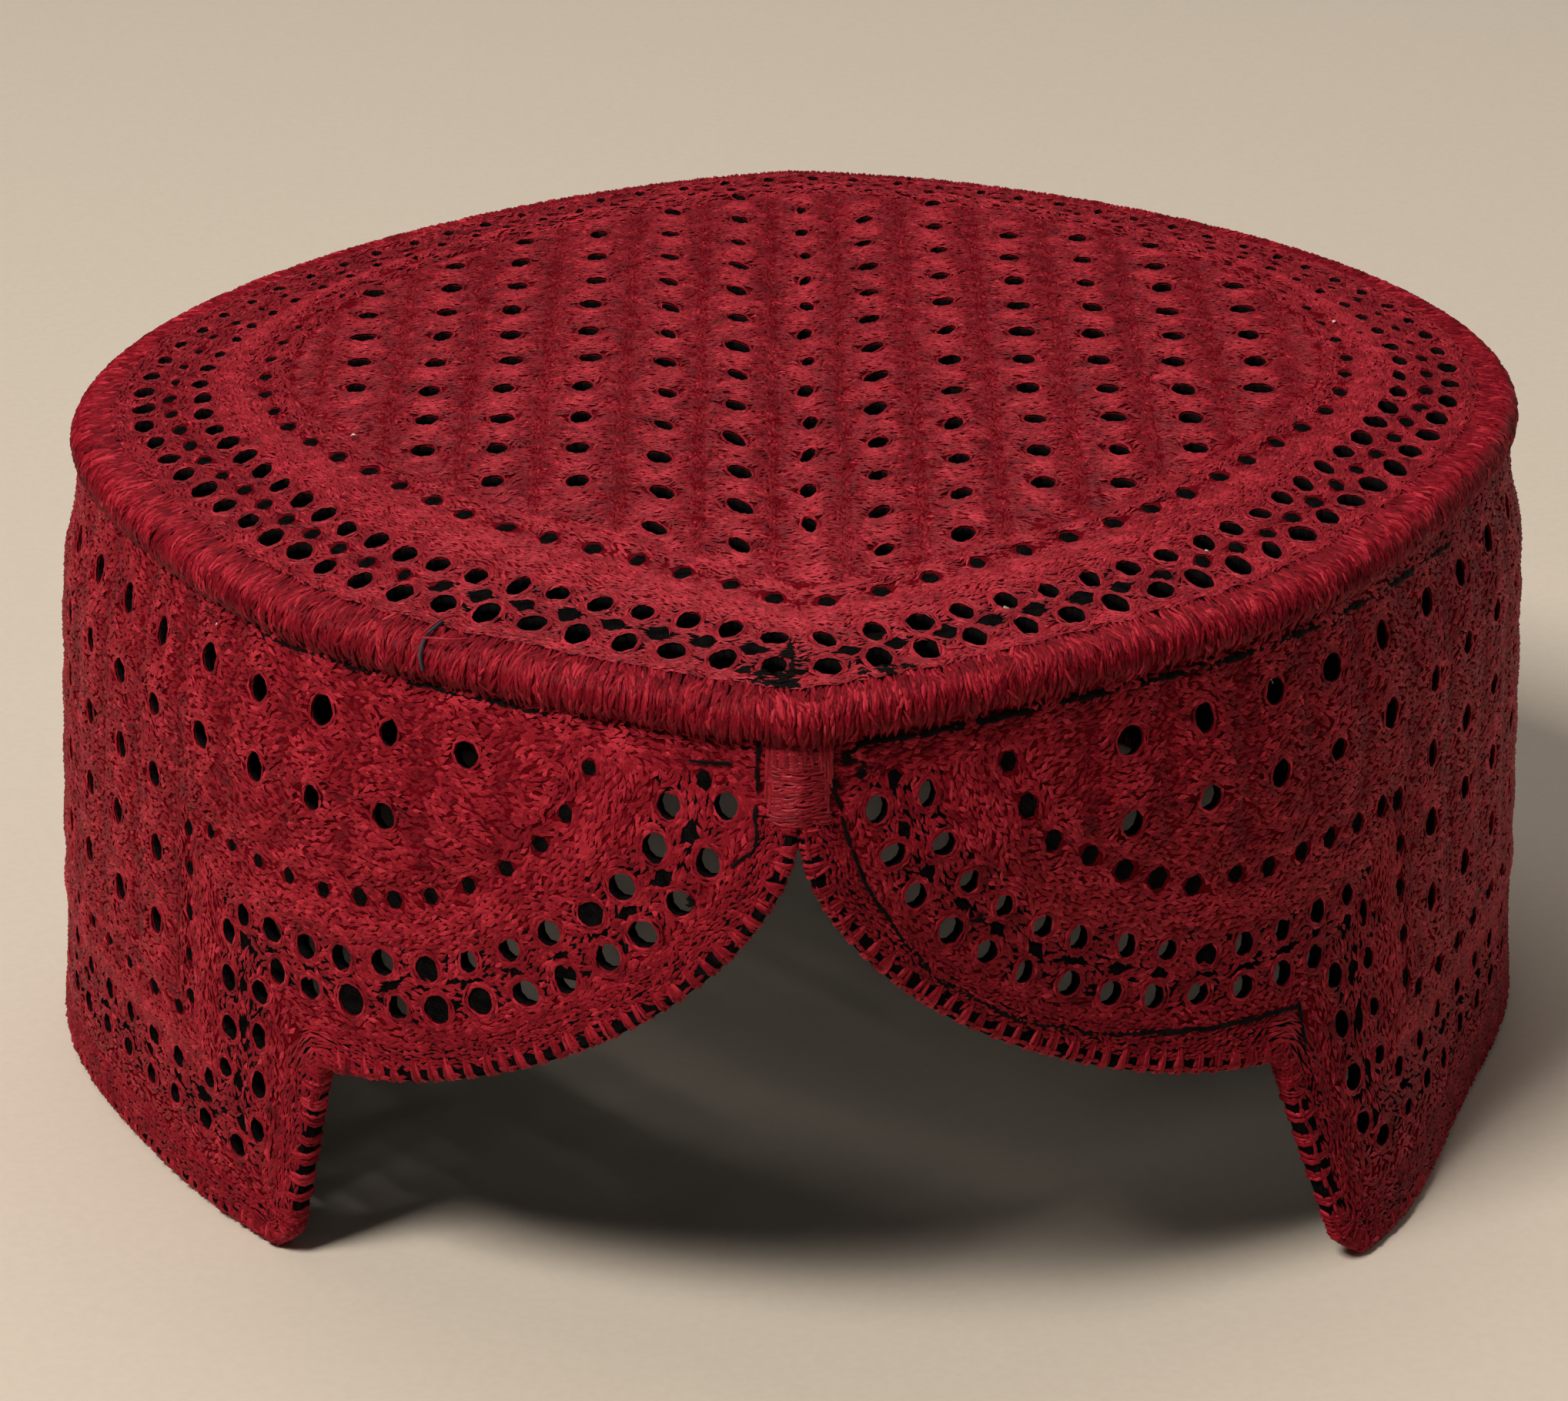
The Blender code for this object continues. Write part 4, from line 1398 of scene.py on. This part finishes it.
def row_stitches(side):
    """Places and headings of the rows of stitches that follow one half's lower edge, thinner in the
    honeycomb of small eyelets."""
    places, headings = [], []
    rows = [index + np.arange(0, 1, WALL_STITCH[2] / band) for index, band in enumerate(ROW_BANDS)]
    for row in np.concatenate(rows):
        path = to_level(row_path(row), side)
        place, heading = stitches_along(path, WALL_STITCH, RANDOM.uniform())
        places.append(place)
        headings.append(heading)
    places, headings = np.vstack(places), np.concatenate(headings)
    honeycomb = bump(1.9, 1.3, row_of(places[:, 0], -places[:, 1]))
    return thinned(places, headings, honeycomb, 0.2)


def level_stitches(side):
    """Places and headings of one half's level stitches: the band under the rim, the corner beside
    the bar, and the field. Their headings stray in soft patches."""
    places = level_rows((3.9, BAND_TOP + 0.6), (BACK_RUN - 1.0, 58.0), WALL_STITCH)
    run, drop = places.T
    row = row_of(run, drop)
    corner = (run < 9) & (drop < 13.2) & (row < 0.9)
    field = (drop >= BAND_FOOT) & (row > FIELD_ROW - 0.02)
    places = to_level(places[(drop < BAND_FOOT) | corner | field], side)
    return places, 0.25 * blotch(*places.T, 6.0)


def build_wall(side, name):
    """One half of the wall: its pierced cloth, its stitching in a front and a side piece, and its
    black lines and patches."""
    opened, closed = wall_eyelets(side)
    eyelets = np.vstack([opened, closed])
    outline = to_level(wall_outline(), side)
    title, slot = "wall_" + name + "_cloth", "wall_" + name
    cloth = pierced_cloth(title, wall_surface, wall_relief, outline, opened, closed, wall_bare)
    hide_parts("wall_" + name)

    row_places, row_headings = row_stitches(side)
    level_places, level_headings = level_stitches(side)
    surfaces = (wall_surface, wall_relief, wall_tone_and_painted_light, eyelets)
    large = opened[row_of(opened[:, 0], -opened[:, 1]) < INNER_ROW + 0.6]
    for part, first, last in (("front", 0, FRONT_LENGTH), ("side", FRONT_LENGTH, BACK_RUN)):
        rows, level, rims, double = [
            (np.abs(values[:, 0]) >= first) & (np.abs(values[:, 0]) < last)
            for values in (row_places, level_places, opened, large)
        ]
        shapes = [
            sewn(*surfaces, row_places[rows], row_headings[rows], WALL_STITCH),
            sewn(*surfaces, level_places[level], level_headings[level], WALL_STITCH),
            rim_rings(*surfaces[:3], opened[rims], 12, 0.42, 0.16),
            rim_rings(*surfaces[:3], large[double], 14, 0.44, 0.14, 0.36),
        ]
        add_threads("wall_stitches_" + part + "_" + name, shapes, CRIMSON_MATT)

    marks = []
    for half, width, path in WALL_LINES:
        if half == side:
            marks.append(marked(wall_surface, to_level(np.array(path), side), width, 0.42))
    for half, at_run, at_drop, reach in WALL_PATCHES:
        if half == side:
            marks.append(patched(wall_surface, np.array([side * at_run, -at_drop]), reach, 0.42))
    add_threads("wall_marks_" + name, marks, BLACK_THREAD)


def back_surface(across, level):
    """Point of the wall's outer face by its distance across the back centre line and its level."""
    return wall_surface(np.where(across < 0, BACK_RUN + across, across - BACK_RUN), level)


def build_back_seam():
    """Short satin stitches side by side over the line where the halves of the wall meet."""
    drop = np.arange(5.0, HEIGHT - 0.4, 0.42)
    count = len(drop)
    share = np.linspace(-1, 1, 5)
    across = RANDOM.normal(0, 0.12, (count, 1)) + RANDOM.uniform(0.9, 1.5, (count, 1)) * share
    level = -drop[:, None] + RANDOM.normal(0, 0.16, (count, 1)) * share
    lines = np.stack([across, level], axis=-1)
    shade = random_shade(0.46, 0.10, count)
    lift = 0.32 + RANDOM.uniform(0, 0.08, (count, 1))
    shape = thread_shape(back_surface, lines, RANDOM.uniform(0.5, 0.65, count), lift, shade, sink=0.25)
    add_threads("back_seam", [shape], CRIMSON_MATT)


# The rim cord, the bindings and the bar


RIM_STRANDS = 1400
# The tufts' shades paint light and shade: lightest over the top of the cord as a painted highlight, darker at
# the crown's edge and low on the cord's outer face as painted shade.
RIM_TUFTS = (  # strands, first and last start, longest, shade
    (1500, 0.30, 1.6, 3.6, 0.38),
    (1900, 1.6, 4.2, 4.4, 0.50),
    (1500, 3.6, 6.2, 3.8, 0.44),
    (1100, 6.0, 8.6, 3.0, 0.36),
)
RIM_BUNCH = 2.1
RIM_CLEARANCE = 0.02


def on_rim(run):
    """Runs along the rim cord, kept off the line where its two ends meet."""
    return np.clip(run, RIM_CLEARANCE - RIM_LENGTH, RIM_LENGTH - RIM_CLEARANCE)


def overcast_lines(count, start, end, stations, lean):
    """Lines across the rim cord, evenly spaced round it. They draw together in bunches: a little at
    the top round one set of centres, and more at the bottom round another half a bunch along."""
    run = (np.arange(count) + 0.5) / count * 2 * RIM_LENGTH - RIM_LENGTH
    run = run + RANDOM.normal(0, 0.10, count)
    number = run / RIM_BUNCH + 0.9 * blotch(run, 0 * run, 3.4)
    above, below = np.round(number) - number, np.floor(number) + 0.5 - number
    share = np.linspace(0, 1, stations)
    upper, lower = np.clip(1 - 2.2 * share, 0, 1), np.clip(1.8 * share - 0.8, 0, 1)
    drawn = 0.5 * above[:, None] * upper + below[:, None] * lower
    drawn = drawn * RIM_BUNCH * RANDOM.uniform(0.2, 0.6, (count, 1))
    start = np.maximum(start + 0.2 * np.abs(above), 0.05)
    end = np.minimum(end - 0.8 * np.abs(below), RIM_WIDTH - 0.05)
    across = start[:, None] + (end - start)[:, None] * share
    sway = run[:, None] + drawn + lean[:, None] * (share - 0.5)
    return np.stack([on_rim(sway), -across], axis=-1)


def build_rim():
    """The dense overcasting over the rim cord: long strands from the crown's edge down to the wall,
    darkened as painted shade between the tufts, and short tufts over them that bunch together,
    with a painted glint of a bright strand here and there."""
    low, high = 0.45, RIM_WIDTH - 0.6
    count = RIM_STRANDS
    start = low + RANDOM.normal(0, 0.30, count)
    end = high + RANDOM.normal(0, 0.60, count)
    lines = overcast_lines(count, start, end, 7, RANDOM.normal(0, 0.35, count))
    # the long strands are darkened: painted shade where they show between the tufts
    shade = random_shade(0.26, 0.08, count)
    lift = RANDOM.uniform(0, 0.10, (count, 1)) - 0.12
    width = RANDOM.uniform(0.42, 0.60, count)
    shapes = [thread_shape(rim_surface, lines, width, lift, shade, sink=0.08)]
    for count, first, last, longest, lightest in RIM_TUFTS:
        start = RANDOM.uniform(first, last, count)
        end = np.minimum(start + RANDOM.uniform(0.55, 1.0, count) * longest, high + 1.2)
        lines = overcast_lines(count, start, end, 4, RANDOM.normal(0, 0.30, count))
        run = lines[:, 1, 0]
        lean = 0.45 * blotch(run, start, 1.6)
        lines[..., 0] += lean[:, None] * np.array([-1, -0.2, 0.5, 1])
        shade = lightest + 0.14 * blotch(run, start, 2.1) + RANDOM.normal(0, 0.15, count)
        # a few much lighter tufts: painted glints
        shade = np.clip(shade + 0.25 * (RANDOM.uniform(0, 1, count) < 0.06), 0.10, 1)
        lines[..., 0] = on_rim(lines[..., 0])
        lift = RANDOM.uniform(0, 0.18, (count, 1)) - 0.04
        width = RANDOM.uniform(0.30, 0.50, count)
        shapes.append(thread_shape(rim_surface, lines, width, lift, shade, 0.09, 0.10))
    add_threads("rim_overcasting", shapes, CRIMSON_BRIGHT)


EDGE_PROFILE = (  # distance inside the edge, outset from the wall's outer face
    (5.6, 0.25),
    (4.4, 0.40),
    (2.5, 0.42),
    (0.7, 0.40),
    (0.0, 0.05),
    (-0.12, -1.0),
    (0.0, -2.05),
    (0.8, -2.40),
    (2.6, -2.40),
)
EDGE_SPAN = lengths_along(np.array(EDGE_PROFILE))[-1]
EDGE_RHYTHM = (  # corner, distance past it, pitch, how bunched, length inside, black left and right
    (0, 0.0, 0.62, 0.20, 2.8, 1.5, 1.6),
    (0, 12.0, 0.66, 0.40, 3.4, 1.7, 2.1),
    (0, 40.0, 0.66, 0.40, 3.6, 1.8, 2.1),
    (40, -12.0, 0.64, 0.38, 3.4, 1.6, 1.9),
    (40, -5.0, 0.60, 0.20, 3.2, 1.0, 1.4),
    (40, -3.0, 0.46, 0.00, 3.2, -1.0, -1.0),
    (40, 3.5, 0.46, 0.00, 3.2, -1.0, -1.0),
    (40, 5.5, 0.66, 0.42, 3.0, 1.3, 1.9),
    (41, 0.0, 0.68, 0.50, 2.8, 1.2, 2.1),
    (41, 7.0, 0.68, 0.50, 2.8, 1.7, 1.9),
    (42, -4.0, 0.60, 0.30, 2.8, 1.6, 0.8),
    (42, -2.5, 0.46, 0.00, 3.0, -1.0, -1.0),
    (44, -4.0, 0.50, 0.00, 3.0, -1.0, -1.0),
    (44, 1.0, 0.60, 0.15, 2.4, 1.4, 0.2),
    (45, -10.0, 0.60, 0.12, 2.2, 1.3, 0.2),
    (45, 0.0, 0.60, 0.10, 2.2, 1.3, 0.2),
)
EDGE_PILE = (1.7, 0.48, 0.36)
EDGE_FOLD = EDGE_PROFILE[0][0]
EDGE_CLEARANCE = 0.05
EDGE_STATIONS = 700
BUNCH = 4
PURL_SHARE = (0.35, 0.85)


def edge_surface(side):
    """The surface over one half's binding, by signed distance along the lower edge and level: the
    distance across it, from the wall over the fold to the inside, with a minus sign."""
    path = lower_edge()
    length = lengths_along(path)
    station = np.linspace(0, length[-1], EDGE_STATIONS)
    along = unit(np.gradient(along_path(path, station), axis=0))
    window = np.hanning(9) / np.hanning(9).sum()
    padded = np.pad(along, ((4, 4), (0, 0)), mode="edge")
    along = unit(np.stack([np.convolve(values, window, "valid") for values in padded.T], axis=-1))
    inward = np.column_stack([along[:, 1], -along[:, 0]])
    profile = np.array(EDGE_PROFILE)
    across = lengths_along(profile)

    def surface(at, level):
        """Point by the distance along the edge and the level across it."""
        at, distance = np.abs(at), -level
        depth = np.interp(distance, across, profile[:, 0])
        outset = np.interp(distance, across, profile[:, 1])
        run = np.interp(at, length, path[:, 0]) + np.interp(at, station, inward[:, 0]) * depth
        drop = np.interp(at, length, path[:, 1]) + np.interp(at, station, inward[:, 1]) * depth
        run = np.clip(run, 0.05, BACK_RUN - 0.05)
        return wall_surface(side * run, -drop, outset)

    return surface, length[-1]


def edge_lines(side, total, at, across):
    """Lines over one half's binding, by distance along it, kept off its ends, and across it."""
    at = np.clip(at, EDGE_CLEARANCE, total - EDGE_CLEARANCE)
    return np.stack(np.broadcast_arrays(side * at, -across), axis=-1)


def edge_pile(surface, total, side, marks, black):
    """Short stitches along the inner part of one binding, in rows that end where the cloth at the
    fold is left bare."""
    length, width, spacing = EDGE_PILE
    rows = np.arange(0.1, EDGE_FOLD + 1.2, spacing)
    along = np.arange(0.3, total - 0.3, length * STITCH_STEP)
    grid = np.stack(np.meshgrid(along, rows), axis=-1)
    grid = grid + RANDOM.uniform(-0.5, 0.5, (len(rows), 1, 2)) * (1.0, 0)
    places = (grid + RANDOM.normal(0, 0.10, grid.shape)).reshape(-1, 2)
    bare = np.interp(places[:, 0], marks, black) + RANDOM.normal(0, 0.22, len(places))
    places = places[places[:, 1] < EDGE_FOLD - bare]
    count = len(places)
    heading = -0.12 + 0.30 * blotch(*places.T, 2.2) + RANDOM.normal(0, 0.22, count)
    lines = straight_lines(places, heading, length * RANDOM.uniform(0.7, 1.3, count), 3, 0.08)
    lines = edge_lines(side, total, lines[..., 0], np.maximum(lines[..., 1], 0.0))
    shade = np.clip(0.42 + 0.10 * blotch(*places.T, 1.7) + RANDOM.normal(0, 0.10, count), 0, 1)
    width = width * RANDOM.uniform(0.8, 1.25, count)
    return thread_shape(surface, lines, width, RANDOM.uniform(0, 0.08, (count, 1)), shade, sink=0.10)


def blanket_stitches(surface, total, side, marks, pitch, bunching, inside_length):
    """Strands over the fold of one binding. Their number grows by the distance over the local pitch,
    and every four are drawn together by the local bunching and spread like a fan."""
    fine = np.linspace(0, total, 4000)
    number = np.cumsum(1 / np.interp(fine, marks, pitch)) * fine[1]
    count = int(number[-1]) // BUNCH * BUNCH
    bunches = count // BUNCH
    at = np.interp(np.arange(count) + 0.5, number, fine)
    centre = at.reshape(-1, BUNCH).mean(axis=1) + RANDOM.normal(0, 0.22, bunches)
    order = np.arange(count) % BUNCH - (BUNCH - 1) / 2
    bunch = np.interp(at, marks, bunching) * RANDOM.uniform(0.6, 1.35, bunches).repeat(BUNCH)
    spacing = np.interp(at, marks, pitch) * (1 - bunch)
    share = np.linspace(0, 1, 7)
    fan = np.interp(share, (0, 0.35, 0.6, 1), (0.35, 0.85, 1.15, 1.0))
    sway = centre.repeat(BUNCH)[:, None] + (order * spacing)[:, None] * fan
    sway = sway + RANDOM.normal(0, 0.10, (count, 1))
    lean = RANDOM.normal(0, 0.25, bunches).repeat(BUNCH) + RANDOM.normal(0, 0.12, count)
    start = EDGE_FOLD - np.interp(at, marks, inside_length) + 0.35 * np.abs(order)
    start = start + RANDOM.normal(0, 0.25, count)
    end = EDGE_SPAN - RANDOM.uniform(0.2, 1.4, count)
    across = start[:, None] + (end - start)[:, None] * share
    lines = edge_lines(side, total, sway + lean[:, None] * (share - 0.6), across)
    # lighter than the pile beside them: a painted highlight on the raised strands
    shade = random_shade(0.58, 0.16, count)
    lift = 0.02 + RANDOM.uniform(0.0, 0.12, (count, 1))
    return thread_shape(surface, lines, RANDOM.uniform(0.44, 0.62, count), lift, shade, sink=0.14)


def purls(surface, total, side):
    """Short stitches end to end along one binding, just inside its fold, with gaps between them."""
    at = np.arange(0.6, total - 0.6, 1.15)
    at = at[RANDOM.uniform(0, 1, len(at)) < PURL_SHARE[side > 0]]
    count = len(at)
    places = np.column_stack([at, EDGE_FOLD - 0.70 + RANDOM.normal(0, 0.12, count)])
    lines = straight_lines(places, RANDOM.normal(0, 0.10, count), RANDOM.uniform(1.4, 2.0, count), 4)
    lines = edge_lines(side, total, lines[..., 0], lines[..., 1])
    shade = random_shade(0.45, 0.12, count)
    return thread_shape(surface, lines, RANDOM.uniform(0.40, 0.58, count), 0.20, shade, sink=0.14)


def build_edge(side, name):
    """One binding: red pile over its inner part, blanket stitches over its fold with black cloth
    between the bunches, and a broken line of purls."""
    surface, total = edge_surface(side)
    corner, past, pitch, bunching, inside_length, *black = np.array(EDGE_RHYTHM).T
    marks = lengths_along(lower_edge())[corner.astype(int)] + past
    shapes = [
        edge_pile(surface, total, side, marks, black[side > 0]),
        blanket_stitches(surface, total, side, marks, pitch, bunching, inside_length),
        purls(surface, total, side),
    ]
    add_threads("edge_stitches_" + name, shapes, CRIMSON_MATT)


BAR_COLUMNS = (-2.4, -0.8, 0.9, 2.4)
BAR_SIDE_STRANDS = 36
BAR_TOP_STRANDS = 44


def build_bar():
    """Satin stitches across the bar, fine and bowed a little, in four overlapping columns, with a few
    upright strands down each side of it, and more that run onto it from the rim cord."""
    rows = np.arange(5.2, BAR_BOTTOM + 0.9, 0.24)
    run = np.concatenate([RANDOM.normal(column, 0.40, len(rows)) for column in BAR_COLUMNS])
    drop = np.tile(rows, len(BAR_COLUMNS))
    count = len(run)
    drop = drop + RANDOM.normal(0, 0.12, count)
    share = np.linspace(-1, 1, 6)
    half = RANDOM.uniform(0.9, 1.7, count)
    x = run[:, None] + half[:, None] * share
    y = -drop[:, None] + 0.22 * (share**2 - 0.4) + RANDOM.normal(0, 0.18, (count, 1)) * share
    lines = np.stack([np.clip(x, -3.75, 3.75), y], axis=-1)
    lift = 0.34 + RANDOM.uniform(0, 0.16, (count, 1)) + 0.15 * (1 - (lines[..., 0] / 4) ** 2)
    shade = random_shade(0.52, 0.10, count)
    width = RANDOM.uniform(0.30, 0.46, count)
    shapes = [thread_shape(wall_surface, lines, width, lift, shade, sink=0.1)]

    count = BAR_SIDE_STRANDS
    side = np.where(np.arange(count) % 2, 1, -1)
    x = side[:, None] * (RANDOM.uniform(2.7, 3.7, (count, 1)) + 0.3 * share**2)
    top = RANDOM.uniform(5.0, 9.5, (count, 1))
    y = -top - RANDOM.uniform(1.5, 2.2, (count, 1)) * (share + 1)
    lines = np.stack([np.clip(x, -3.85, 3.85), np.maximum(y, -BAR_BOTTOM - 0.8)], axis=-1)
    shade = random_shade(0.50, 0.12, count)
    shapes.append(thread_shape(wall_surface, lines, np.full(count, 0.36), 0.50, shade, sink=0.1))

    count = BAR_TOP_STRANDS
    x = RANDOM.uniform(-3.7, 3.7, (count, 1)) + RANDOM.normal(0, 0.25, (count, 1)) * share
    y = -4.9 - RANDOM.uniform(1.2, 2.4, (count, 1)) * (share + 0.6)
    lines = np.stack([x, y], axis=-1)
    shade = random_shade(0.46, 0.14, count)
    shapes.append(thread_shape(wall_surface, lines, np.full(count, 0.40), 0.62, shade, sink=0.1))
    add_threads("bar_satin", shapes, CRIMSON)


def swept_tube(points, radius, sides=6):
    """A thin round tube along points: at each, a ring of corners square to the path, closed by a
    point at each end."""
    points = np.asarray(points, float)
    along = unit(np.gradient(points, axis=0))
    across = unit(np.cross(along, (0.3, 0.2, 1.0)))
    upward = np.cross(across, along)
    angle = np.arange(sides) / sides * math.tau
    ring = np.cos(angle)[:, None] * across[:, None] + np.sin(angle)[:, None] * upward[:, None]
    walls = (points[:, None] + radius * ring).reshape(-1, 3)
    count = len(points)
    at = np.arange(sides)
    first = np.arange(count - 1)[:, None] * sides
    after = (at + 1) % sides
    quads = np.stack([first + at, first + sides + at, first + sides + after, first + after], axis=-1)
    last = (count - 1) * sides
    start = np.column_stack([np.full(sides, count * sides), at, after])
    end = np.column_stack([np.full(sides, count * sides + 1), last + after, last + at])
    length = lengths_along(points)
    place = np.column_stack([length.repeat(sides), np.tile(angle * radius, count)])
    return {
        "points": np.vstack([walls, points[:1], points[-1:]]),
        "triangles": np.vstack([start, end]),
        "quads": quads.reshape(-1, 4),
        "uv": np.vstack([place, place[:1], place[-1:]]),
        "shade": np.full(len(walls) + 2, 0.7),
    }


def smooth_path(points, count):
    """A smooth path through points: a spline in each coordinate over the distance along them."""
    points = np.asarray(points, float)
    length = lengths_along(points)
    at = np.linspace(0, length[-1], count)
    return np.stack([smooth_curve(np.column_stack([length, values]), at) for values in points.T], axis=-1)


def loose_thread(surface, corners, radius):
    """A round thread over a surface, smooth through corners that each have a place and a lift."""
    corners = np.array(corners)
    path, _ = on_surface(surface, corners[:, :2], corners[:, 2])
    return swept_tube(smooth_path(path, 40), radius)


def build_loose_ends():
    """The blue-grey thread end over the cord, the red end and loop beside it, and specks of lint."""
    add_threads("blue_thread_end", [loose_thread(rim_surface, BLUE_END, 0.20)], BLUE_THREAD)
    reds = [loose_thread(crown_surface, corners, 0.13) for corners in (RED_END, RED_LOOP)]
    add_threads("red_thread_end", reds, CRIMSON)
    specks = straight_lines(np.array(CROWN_SPECKS), np.array([0.2, 1.2]), np.array([0.7, 0.9]))
    shapes = [thread_shape(crown_surface, specks, np.array([0.45, 0.55]), 0.62, 0.5)]
    specks = straight_lines(np.array(WALL_SPECKS), np.array([0.4]), np.array([0.7]))
    shapes.append(thread_shape(wall_surface, specks, np.array([0.5]), 0.55, 0.5))
    add_threads("lint_specks", shapes, LINT)


# The stage, the lights and the camera


def build_stage():
    """A plain pale floor under the cap."""
    mesh = bpy.data.meshes.new("floor")
    reach, level = 3.0, -0.0004
    corners = [(-reach, -reach, level), (reach, -reach, level), (reach, reach, level), (-reach, reach, level)]
    mesh.from_pydata(corners, [], [(0, 1, 2, 3)])
    floor = bpy.data.objects.new("floor", mesh)
    bpy.context.scene.collection.objects.link(floor)
    material, tree, shader = new_material("pale floor")
    place = add_node(tree, "ShaderNodeTexCoord").outputs["Object"]
    grain = add_node(tree, "ShaderNodeTexNoise", {"Vector": place, "Scale": 900.0, "Detail": 3.0})
    cream = tuple(value * 0.96 for value in FLOOR_BEIGE[:3]) + (1,)
    colour = colour_ramp(tree, grain.outputs[0], [(0.3, cream), (0.7, FLOOR_BEIGE)])
    tree.links.new(colour, shader.inputs["Base Color"])
    shader.inputs["Roughness"].default_value = 0.8
    shader.inputs["Specular IOR Level"].default_value = 0.2
    mesh.materials.append(material)


def add_softbox(name, place, aim, size, power, colour):
    """A square area lamp that looks at a point."""
    lamp = bpy.data.lights.new(name, "AREA")
    lamp.shape = "SQUARE"
    lamp.size = size
    lamp.energy = power
    lamp.color = colour
    obj = bpy.data.objects.new(name, lamp)
    back = unit(np.array(place, float) - np.array(aim, float))
    right = unit(np.cross((0, 0, 1), back))
    turned = Matrix(np.column_stack([right, np.cross(back, right), back]).tolist())
    obj.matrix_world = Matrix.Translation(place) @ turned.to_4x4()
    bpy.context.scene.collection.objects.link(obj)


SOFTBOXES = (  # name, place in metres, size, power, colour
    ("key", (-0.80, -0.68, 1.55), 0.60, 32.0, (1.0, 0.90, 0.79)),
    ("top", (-0.10, 0.45, 1.30), 0.80, 4.5, (1.0, 0.93, 0.84)),
    ("edge", (0.85, 0.30, 0.35), 0.50, 0.9, (1.0, 0.90, 0.80)),
)
SURROUND_COLOUR = (0.74, 0.68, 0.60, 1)
SURROUND_STRENGTH = 0.078


def build_light():
    """A warm softbox at the upper left front, a weaker one above the back, a faint one low behind the
    right, and a dim, warm surround."""
    for name, place, size, power, colour in SOFTBOXES:
        add_softbox(name, place, (0, 0, 0.05), size, power, colour)
    world = bpy.data.worlds.new("surround")
    world.use_nodes = True
    background = world.node_tree.nodes["Background"]
    background.inputs[0].default_value = SURROUND_COLOUR
    background.inputs[1].default_value = SURROUND_STRENGTH
    bpy.context.scene.world = world
    bpy.context.scene.view_settings.view_transform = "Standard"


# The camera stands in front of the cap, a little above it, in metres and radians
CAMERA_PLACE = (0.002474, -0.6325, 0.31205)
CAMERA_YAW = 0.0032185
CAMERA_PITCH = 0.40527
CAMERA_ROLL = -0.0211266
CAMERA_LENS = 123.71


def turn_about(axis, angle):
    """The matrix of a turn about one axis, as numpy rows."""
    return np.array(Matrix.Rotation(angle, 3, axis))


def build_camera():
    """The photograph's view: turned by the yaw, pitched down and rolled."""
    camera = bpy.data.cameras.new("camera")
    camera.lens = CAMERA_LENS
    camera.sensor_width = 36.0
    camera.clip_start = 0.01
    base = np.array([[1, 0, 0], [0, 0, -1], [0, 1, 0]], float)
    yaw = turn_about("Z", -CAMERA_YAW)
    pitch = turn_about("X", CAMERA_PITCH)
    roll = turn_about("Z", CAMERA_ROLL)
    rows = roll @ pitch @ base @ yaw
    columns = np.column_stack([rows[0], -rows[1], -rows[2]])
    obj = bpy.data.objects.new("camera", camera)
    obj.matrix_world = Matrix.Translation(CAMERA_PLACE) @ Matrix(columns.tolist()).to_4x4()
    bpy.context.scene.collection.objects.link(obj)
    bpy.context.scene.camera = obj


def dress_solids():
    """The materials of the solids that stay in view under their stitches."""
    finish = {
        "rim_cord": RED_CORE,
        "front_bar": RED_CORE,
        "edge_left": BLACK_BINDING,
        "edge_right": BLACK_BINDING,
    }
    for name, material in finish.items():
        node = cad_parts[name]
        for slot in node.material_slots:
            slot.material = material


build_camera()
build_crown()
for side, name in ((-1, "left"), (1, "right")):
    build_wall(side, name)
    build_edge(side, name)
build_back_seam()
build_rim()
build_bar()
build_loose_ends()
dress_solids()
build_stage()
build_light()
